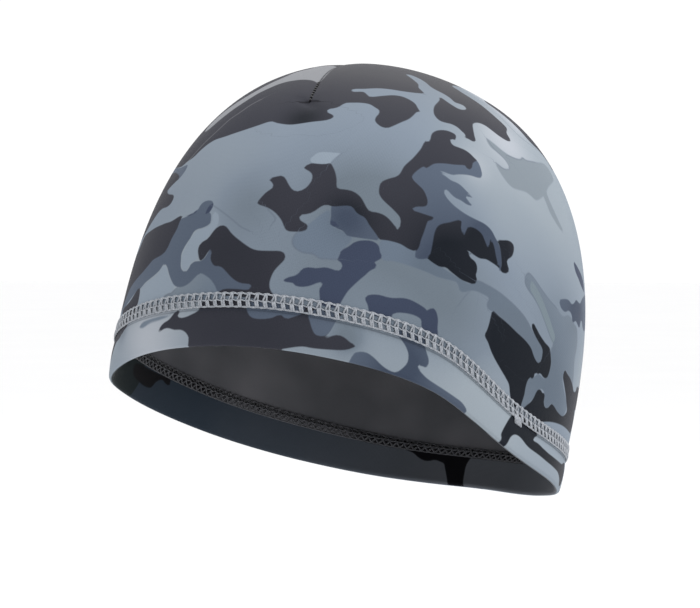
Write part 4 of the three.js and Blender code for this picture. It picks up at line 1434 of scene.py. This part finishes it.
# Painted highlights on the inside's soft folds, in patches from the drift
clouds = ((drift - LINING_HIGHLIGHT_FROM) * LINING_HIGHLIGHT_GAIN).clamp()
lining_colour = with_shade(start, clouds.mix(LINING_COLOUR, LINING_PAINTED_HIGHLIGHT))
feed(shader, "Base Color", attribute(start, "lining").mix(colour, lining_colour))
feed(shader, "Normal", knit_normal(start))
print("crown cloth, shader nodes:", len(crown_cloth.node_tree.nodes))

# %% The crown itself
everywhere = np.zeros(len(lining))
crown_attributes = {}
for tone, field in crown_fields.items():
    plain = LINE_MARGIN if tone in OPEN_TONES else -PRINT_MARGIN
    crown_attributes[tone] = np.concatenate([field, everywhere + plain])
crown_attributes["lining"] = np.concatenate([np.zeros(len(outer)), everywhere + 1])
lining_ups = np.linalg.norm(lining - np.resize(lining[:LINING_AROUND], lining.shape), axis=1) + JOINT
under_seam = SHADE_TOP - lining_ups
crown_attributes["under_seam"] = np.concatenate([np.full(len(outer), -PRINT_MARGIN), under_seam])
crown_attributes["end_on"] = np.concatenate([np.zeros(len(outer)), end_on(lining)])
crown = add_mesh("crown_knit", np.concatenate([outer, lining]), crown_faces, crown_cloth, crown_attributes)
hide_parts("crown")


def add_cloth_map(piece, around_mm):
    """Lays the cloth's own map over a piece: metres round the head, and metres down from the top."""
    mesh = piece.data
    corners = np.zeros(len(mesh.loops), int)
    mesh.loops.foreach_get("vertex_index", corners)
    points = np.zeros(len(mesh.vertices) * 3)
    mesh.vertices.foreach_get("co", points)
    cap_points = points.reshape(-1, 3) / MM @ CAP_TO_WORLD
    turn = np.arctan2(cap_points[:, 0], set_back(cap_points[:, 2]) - cap_points[:, 1])
    reach = np.interp(-cap_points[:, 2], -chart_heights, chart_reaches)
    loop_starts = np.zeros(len(mesh.polygons), int)
    mesh.polygons.foreach_get("loop_start", loop_starts)
    loop_totals = np.zeros(len(mesh.polygons), int)
    mesh.polygons.foreach_get("loop_total", loop_totals)
    firsts = np.repeat(turn[corners[loop_starts]], loop_totals)
    wrapped = turn[corners] - FULL_TURN * np.round((turn[corners] - firsts) / FULL_TURN)
    layer = mesh.uv_layers.new(name="cloth")
    laid = np.stack([wrapped / FULL_TURN * around_mm * MM, reach[corners] * MM], axis=1)
    layer.data.foreach_set("uv", laid.ravel())


# A whole number of ribs goes round, so that the knit has no break at the back
ROUND_HEAD = KNIT_PITCH / MM * round(round_lengths[-1] / (KNIT_PITCH / MM))
add_cloth_map(crown, ROUND_HEAD)

# %% [markdown]
# ## The hem band
# The band is the same cloth, folded double along its lower edge, so the print shows on both faces and
# the edge is a plain soft fold without stitches. Its section is a closed loop of points, swept round.

# %% The band's section and its mesh
BAND_ROWS = 14
FOLD_STEPS = 7
FOLD_RADIUS = CLOTH
BAND_PUFF = 0.35
BAND_PUFF_POWER = 0.8
INNER_PUFF_SHARE = 0.3
BAND_WAVER = 0.12
BAND_WAVER_SWELLS = (9, 5)

# The section runs up the outside, down the inside and round the fold
band_ups = np.linspace(FOLD_RADIUS, JOINT - BUTT, BAND_ROWS)
puff_share = np.clip((band_ups - FOLD_RADIUS) / (BAND_WIDTH - FOLD_RADIUS), 0, 1)
puff = BAND_PUFF * np.sin(np.pi * puff_share) ** BAND_PUFF_POWER
fold_turns = np.pi * (1 + np.arange(1, FOLD_STEPS) / FOLD_STEPS)
fold_ups = FOLD_RADIUS * (1 + np.sin(fold_turns))
fold_outs = FOLD_RADIUS * (np.cos(fold_turns) - 1)
section_up = np.concatenate([band_ups, band_ups[::-1], fold_ups])
section_out = np.concatenate([puff, -FOLDED_BAND - INNER_PUFF_SHARE * puff[::-1], fold_outs])
fold_shares = np.linspace(1, 0, FOLD_STEPS + 1)[1:-1]
inner_face = np.concatenate([np.zeros(BAND_ROWS), np.ones(BAND_ROWS), fold_shares])

band_azimuths = np.linspace(-math.pi, math.pi, CROWN_AROUND, endpoint=False)
turned = np.broadcast_to(band_azimuths, (len(section_up), CROWN_AROUND))
ups = np.broadcast_to(section_up[:, None], turned.shape)
waver = BAND_WAVER * np.sin(band_azimuths * BAND_WAVER_SWELLS[0] + 1)
waver = waver * np.sin(band_azimuths * BAND_WAVER_SWELLS[1])
outs = section_out[:, None] - pucker(turned, ups) * (1 - inner_face[:, None]) + waver
band_points = on_wall(turned, ups, outs).reshape(-1, 3)
band_faces = ring_faces(0, CROWN_AROUND, len(section_up), closed=True)

band_heights = height_along(turned, ups)
band_places = to_chart(turned, band_heights).reshape(-1, 2)
band_smooth = outside_point(turned, band_heights).reshape(-1, 3)
band_fields = print_fields(band_places, band_smooth, BAND_PRINT)
lining_fields = print_fields(band_places, band_smooth, LINING_PRINT, far_wall=True)
print("band tones:", sorted(band_fields), "and inside:", sorted(lining_fields))

# %% Band cloth
BAND_PRINT_ORDER = ["mist", "charcoal", "slate", "navy"]
BAND_BRIGHTNESS = 0.55
# A painted shadow: a thin dark line in the band just under the seam, where the cloth creases
JOINT_SHADE = Stroke("painted_shadow_line", 0.5, 0.45, tint(40, 46, 56))
JOINT_SHADE_UP = BAND_WIDTH - 0.55
# The band's inside runs from dark teal at the left of the view to light grey at the right: partly its print,
# partly painted light
INSIDE_LEFT, INSIDE_RIGHT = tint(36, 45, 55), tint(78, 81, 87)
INSIDE_CHANGE_HALF = 80
FOLD_SHARPNESS = 6.0

band_cloth, start, shader = new_material("band_cloth", CLOTH_ROUGHNESS, CLOTH_SHEEN)
colour, drift = printed_colour(start, BAND_PRINT_ORDER, BAND_BRIGHTNESS)
mask = line_mask(start, JOINT_SHADE.tone, JOINT_SHADE.half_width) * JOINT_SHADE.share
colour = mask.mix(colour, JOINT_SHADE.colour)
# Partly the inside's print, partly painted light towards the right of the view
share = (attribute(start, "right_hand") + cloud_of(drift)).clamp()
inside_colour = share.mix(INSIDE_LEFT, INSIDE_RIGHT)
for tone in ("deep", "ink"):
    inside_colour = inside_mask(start, tone).mix(inside_colour, TONES[tone][0])
face = ((attribute(start, "lining") - 0.5) * FOLD_SHARPNESS + 0.5).clamp()
feed(shader, "Base Color", face.mix(colour, with_shade(start, inside_colour)))
feed(shader, "Normal", knit_normal(start))
print("band cloth, shader nodes:", len(band_cloth.node_tree.nodes))

# %% The band itself
for kind in WASH_KINDS:
    band_fields[kind] = washed(band_smooth, kind)
# How far towards the lighter inside colour: partly print, partly painted light
right_hand = (across_picture(band_smooth) + INSIDE_CHANGE_HALF) / (2 * INSIDE_CHANGE_HALF)
band_fields["right_hand"] = ease(right_hand)
band_fields["end_on"] = end_on(band_smooth)
band_fields[JOINT_SHADE.tone] = (ups - JOINT_SHADE_UP).ravel()
band_fields["under_seam"] = (ups - SHADE_LOW).ravel()
band_attributes = {**band_fields, **lining_fields, "lining": np.repeat(inner_face, CROWN_AROUND)}
band = add_mesh("hem_band_knit", band_points, band_faces, band_cloth, band_attributes)
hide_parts("hem_band")
add_cloth_map(band, ROUND_HEAD)

# %% [markdown]
# ## Threads
# A flatlock seam is a ladder of thread laid over the joint. Each thread is a thin tube along a path on
# the cloth, so that every stitch catches its own light and the print shows between them.


# %% Tubes along paths
def over_wall(azimuths, ups, outs):
    """Points of a path over the wall, with the direction out of the cloth at each."""
    line = on_wall(azimuths, ups, outs)
    return np.concatenate([line, outside_normal(azimuths, height_along(azimuths, ups))], axis=1)


def add_tubes(name, paths, radius, sides, material, closed=False, flatten=1.0):
    """One piece of many tubes; a path is rows of a point and the direction out of the cloth there."""
    points, faces = [], []
    first = 0
    turns = np.arange(sides) / sides * FULL_TURN
    for path in paths:
        line, normal = path[:, :3], path[:, 3:]
        ahead, behind = (np.roll(line, -1, axis=0), np.roll(line, 1, axis=0)) if closed else (line, line)
        along = ahead - behind if closed else np.gradient(line, axis=0)
        along /= np.linalg.norm(along, axis=1, keepdims=True)
        side = np.cross(along, normal)
        side /= np.linalg.norm(side, axis=1, keepdims=True)
        lift = np.cross(side, along) * flatten
        ring = np.cos(turns)[None, :, None] * side[:, None, :]
        ring = ring + np.sin(turns)[None, :, None] * lift[:, None, :]
        points.append((line[:, None, :] + radius * ring).reshape(-1, 3))
        count = len(line)
        for k in range(count if closed else count - 1):
            low, high = first + k * sides, first + (k + 1) % count * sides
            for i in range(sides):
                j = (i + 1) % sides
                faces.append((low + i, low + j, high + j, high + i))
        if not closed:
            faces.append(tuple(first + i for i in reversed(range(sides))))
            faces.append(tuple(first + (count - 1) * sides + i for i in range(sides)))
        first += count * sides
    return add_mesh(name, np.concatenate(points), faces, material)


def azimuth_of(share):
    """Azimuth at a share of the way round the seam."""
    whole = np.floor(share)
    return np.interp(share - whole, round_shares, round_azimuths) + FULL_TURN * whole


# %% Thread materials
THREAD_ROUGHNESS, THREAD_SHEEN = 0.6, 0.3
FIBRE_SCALE, FIBRE_DETAIL = 1400.0, 3.0
FIBRE_LIGHT_FROM, FIBRE_LIGHT_GAIN = 0.3, 2.2
FIBRE_BUMP, FIBRE_BUMP_HEIGHT = 0.5, 0.0002


def thread_material(name, colour, shade):
    """A polyester thread: a little sheen, and fine fibres in its tone and in the bump."""
    material, start, shader = new_material(name, THREAD_ROUGHNESS, THREAD_SHEEN)
    fibres = noise(start, FIBRE_SCALE, FIBRE_DETAIL)
    light = ((fibres - FIBRE_LIGHT_FROM) * FIBRE_LIGHT_GAIN).clamp()
    feed(shader, "Base Color", light.mix(shade, colour))
    feed(shader, "Normal", bumped(start, fibres, FIBRE_BUMP, FIBRE_BUMP_HEIGHT))
    return material


cover_thread = thread_material("cover_thread", tint(166, 170, 176), tint(122, 127, 135))
looper_thread = thread_material("looper_thread", tint(76, 77, 81), tint(58, 59, 63))
dart_thread = thread_material("dart_thread", tint(20, 20, 26), tint(12, 12, 16))
print("threads:", cover_thread.name, looper_thread.name, dart_thread.name)

# %% The flatlock's ladder outside
LEAN = 0.32
MIDDLE_RAIL = BAND_WIDTH + 2.75
LOW_RAIL = BAND_WIDTH + 0.35
TOP_RAIL = SEAM_TOP - 0.3
COVER_SIDES = 6
COVER_FLATNESS = 0.75
BAR_RADIUS = 0.42
LOOP_RADIUS = 0.34
COVER_RAIL_RADIUS = 0.23

# Along a thread's path: its place in the stitch as a share of it, and how far out it lies
BAR_STRANDS = (-0.11, 0.11)
BAR_RUN = LEAN * np.array([0.5, 0.28, 0.0, -0.22, -0.4])
BAR_OUTS = np.array([0.25, 0.42, 0.5, 0.45, 0.3])
LOOP_START = 0.35 * LEAN
LOOP_LEANS = (-0.26, 0.16)
LOOP_RUN = np.array([1, 0.75, 0.45, 0.2])
LOOP_OUTS = np.array([0.3, 0.42, 0.4, 0.25])

bar_ups = np.linspace(LOW_RAIL, MIDDLE_RAIL, len(BAR_RUN))
loop_ups = np.linspace(MIDDLE_RAIL, TOP_RAIL, len(LOOP_RUN))
bars, loops = [], []
for k in range(STITCHES):
    for strand in BAR_STRANDS:
        shares = (k + strand + BAR_RUN) / STITCHES
        bars.append(over_wall(azimuth_of(shares), bar_ups, BAR_OUTS))
    for lean in LOOP_LEANS:
        shares = (k - LOOP_START + lean * LOOP_RUN) / STITCHES
        loops.append(over_wall(azimuth_of(shares), loop_ups, LOOP_OUTS))
print("bars:", len(bars), "loops:", len(loops))

cover_bars = add_tubes("flatlock_bars", bars, BAR_RADIUS, COVER_SIDES, cover_thread, flatten=COVER_FLATNESS)
cover_loops = add_tubes(
    "flatlock_loops", loops, LOOP_RADIUS, COVER_SIDES, cover_thread, flatten=COVER_FLATNESS
)

# %% The rails that run all round
RAIL_STEPS = 6
Rail = namedtuple("Rail", "up out wave_up wave_out phase")


def rail_path(rail):
    """A thread that runs all round, with a small wave in every stitch."""
    steps = STITCHES * RAIL_STEPS
    shares = np.arange(steps) / steps
    beat = FULL_TURN * STITCHES * shares + rail.phase
    ups = rail.up + rail.wave_up * np.sin(beat)
    outs = rail.out + rail.wave_out * np.cos(beat)
    return over_wall(azimuth_of(shares), ups, outs)


COVER_RAILS = [
    Rail(LOW_RAIL, 0.35, 0.08, 0.05, 0.0),
    Rail(LOW_RAIL + 0.15, 0.3, 0.1, 0.05, 3.1),
    Rail(MIDDLE_RAIL, 0.36, 0.16, 0.05, 1.0),
    Rail(TOP_RAIL, 0.22, 0.2, 0.04, 2.0),
    Rail(TOP_RAIL - 0.35, 0.25, 0.16, 0.04, 0.5),
]
rails = [rail_path(rail) for rail in COVER_RAILS]
cover_rails = add_tubes("flatlock_rails", rails, COVER_RAIL_RADIUS, COVER_SIDES, cover_thread, closed=True)
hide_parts("flatlock_seam_outer")

# %% The looper threads inside
IN_BAND, IN_CROWN = -FOLDED_BAND - GAP, -CLOTH - GAP
LOOPER_LOW = BAND_WIDTH + 0.4
LOOPER_RUN = np.array([-0.5, -0.3, -0.1, 0.1, 0.3, 0.5])
LOOPER_SIDES = 5
LOOPER_FLATNESS = 0.6
LOOPER_RADIUS = 0.36
LOOPER_RAIL_RADIUS = 0.26
LOOPER_RAILS = [
    Rail(BAND_WIDTH + 0.3, IN_BAND - 0.35, 0.05, 0.05, 0.0),
    Rail(JOINT - 0.2, IN_BAND - 0.45, 0.2, 0.05, 0.0),
    Rail(LOOPER_TOP, IN_CROWN - 0.4, 0.2, 0.05, 1.0),
]

looper_ups = np.linspace(LOOPER_LOW, LOOPER_TOP, len(LOOPER_RUN))
looper_outs = np.where(looper_ups < JOINT + GAP, IN_BAND - 0.4, IN_CROWN - 0.5)
looper_paths = [
    over_wall(azimuth_of((k + lean * LOOPER_RUN) / STITCHES), looper_ups, looper_outs)
    for k in range(STITCHES)
    for lean in (-1.0, 1.0)
]
looper_mesh = add_tubes(
    "flatlock_loopers", looper_paths, LOOPER_RADIUS, LOOPER_SIDES, looper_thread, flatten=LOOPER_FLATNESS
)
inner_rails = [rail_path(rail) for rail in LOOPER_RAILS]
looper_rails = add_tubes(
    "flatlock_looper_rails", inner_rails, LOOPER_RAIL_RADIUS, LOOPER_SIDES, looper_thread, closed=True
)
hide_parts("flatlock_seam_inner")

# %% The tack where the flatlock's ends overlap
TACK_PIXEL = (517, 419)
TACK_THREADS = 6
TACK_HALF_TURN = 0.022
TACK_LEAN = np.array([-0.008, 0.0, 0.008])
TACK_UPS = BAND_WIDTH + np.array([1.2, -0.4, -1.9])
TACK_OUTS = np.array([0.5, 0.45, 0.2])
tack_x, tack_y, _ = outside_point(*from_chart(land([TACK_PIXEL])[0]))
tack_azimuth = math.atan2(tack_x, -tack_y)
tack_paths = [
    over_wall(tack_azimuth + TACK_HALF_TURN * step + TACK_LEAN, TACK_UPS, TACK_OUTS)
    for step in np.linspace(-1.0, 1.0, TACK_THREADS)
]
tack = add_tubes("flatlock_tack", tack_paths, BAR_RADIUS, COVER_SIDES, cover_thread, flatten=COVER_FLATNESS)

# %% The dart's stitches
TIP_STITCHES = 9
TIP_STITCH_PITCH = 0.95
TIP_STITCH_LENGTH = 0.62
TIP_STITCH_OUT = 0.12
TIP_STITCH_RADIUS = 0.5
FIRST_STITCH = 0.4 - DART_TIP_FRONT


def over_dart(ys, out):
    """Points of a path along the dart, with the direction out of the cloth at each."""
    rows = []
    down = Vector(CAP_TO_WORLD @ np.array([0, 0, -1.0]))
    for y in ys:
        above = to_world(np.array([float(dart_side(y)), y, 2.0 * CROWN_HEIGHT]))
        met, normal, _, _ = net.ray_cast(Vector(above), down)
        point = np.array(met) / MM @ CAP_TO_WORLD
        straight = np.array(normal) @ CAP_TO_WORLD
        straight *= np.sign(straight[2])
        rows.append(np.concatenate([point + (out - dart_depth(point)) * straight, straight]))
    return np.array(rows)


dart_paths = []
for k in range(TIP_STITCHES):
    begin = FIRST_STITCH + k * TIP_STITCH_PITCH
    dart_paths.append(over_dart(np.linspace(begin, begin + TIP_STITCH_LENGTH, 3), TIP_STITCH_OUT))
dart_stitches = add_tubes("dart_stitches", dart_paths, TIP_STITCH_RADIUS, COVER_SIDES, dart_thread)

# %% [markdown]
# ## The floor, the light and the room
# The cap is held up in the air, as a head would hold it, over a plain pale floor. Light comes softly
# from all round, with one large lamp high up behind the wearer's left side.

# %% Floor
FLOOR_LEVEL = -0.16
FLOOR_SIZE = 60.0
FLOOR_ROUGHNESS = 0.9
FLOOR_CLOUDS, FLOOR_DETAIL = 3.0, 2.0
floor_material, start, shader = new_material("floor_paint", FLOOR_ROUGHNESS)
cloudy = noise(start, FLOOR_CLOUDS, FLOOR_DETAIL)
feed(shader, "Base Color", cloudy.mix(tint(246, 246, 247), tint(250, 250, 250)))
floor_mesh = bpy.data.meshes.new("floor")
half = FLOOR_SIZE / 2
sides = [(-half, -half), (half, -half), (half, half), (-half, half)]
floor_mesh.from_pydata([(*side, FLOOR_LEVEL) for side in sides], [], [(0, 1, 2, 3)])
floor_mesh.materials.append(floor_material)
floor = bpy.data.objects.new("floor", floor_mesh)
bpy.context.scene.collection.objects.link(floor)
print("floor at, metres:", FLOOR_LEVEL)

# %% Light
ROOM_STRENGTH = 1.05
LAMP_AIM_HEIGHT = 0.05

world = bpy.data.worlds.new("studio")
bpy.context.scene.world = world
world.use_nodes = True
background = world.node_tree.nodes["Background"]
background.inputs["Color"].default_value = (1.0, 1.0, 1.0, 1.0)
background.inputs["Strength"].default_value = ROOM_STRENGTH
bpy.context.scene.view_settings.view_transform = "Standard"


def add_lamp(name, azimuth_deg, elevation_deg, distance, size, power):
    """A large square lamp that looks at the cap, placed by azimuth and elevation, in metres and watts."""
    turn, rise = math.radians(azimuth_deg), math.radians(elevation_deg)
    place = Vector((math.sin(turn) * math.cos(rise), -math.cos(turn) * math.cos(rise), math.sin(rise)))
    lamp_data = bpy.data.lights.new(name, "AREA")
    lamp_data.size = size
    lamp_data.energy = power
    lamp = bpy.data.objects.new(name, lamp_data)
    lamp.location = place * distance + Vector((0, 0, LAMP_AIM_HEIGHT))
    lamp.rotation_mode = "QUATERNION"
    lamp.rotation_quaternion = place.to_track_quat("Z", "Y")
    bpy.context.scene.collection.objects.link(lamp)
    return lamp


key = add_lamp("key", azimuth_deg=130, elevation_deg=66, distance=1.3, size=0.8, power=13)
print("key lamp at, metres:", [round(v, 2) for v in key.location])
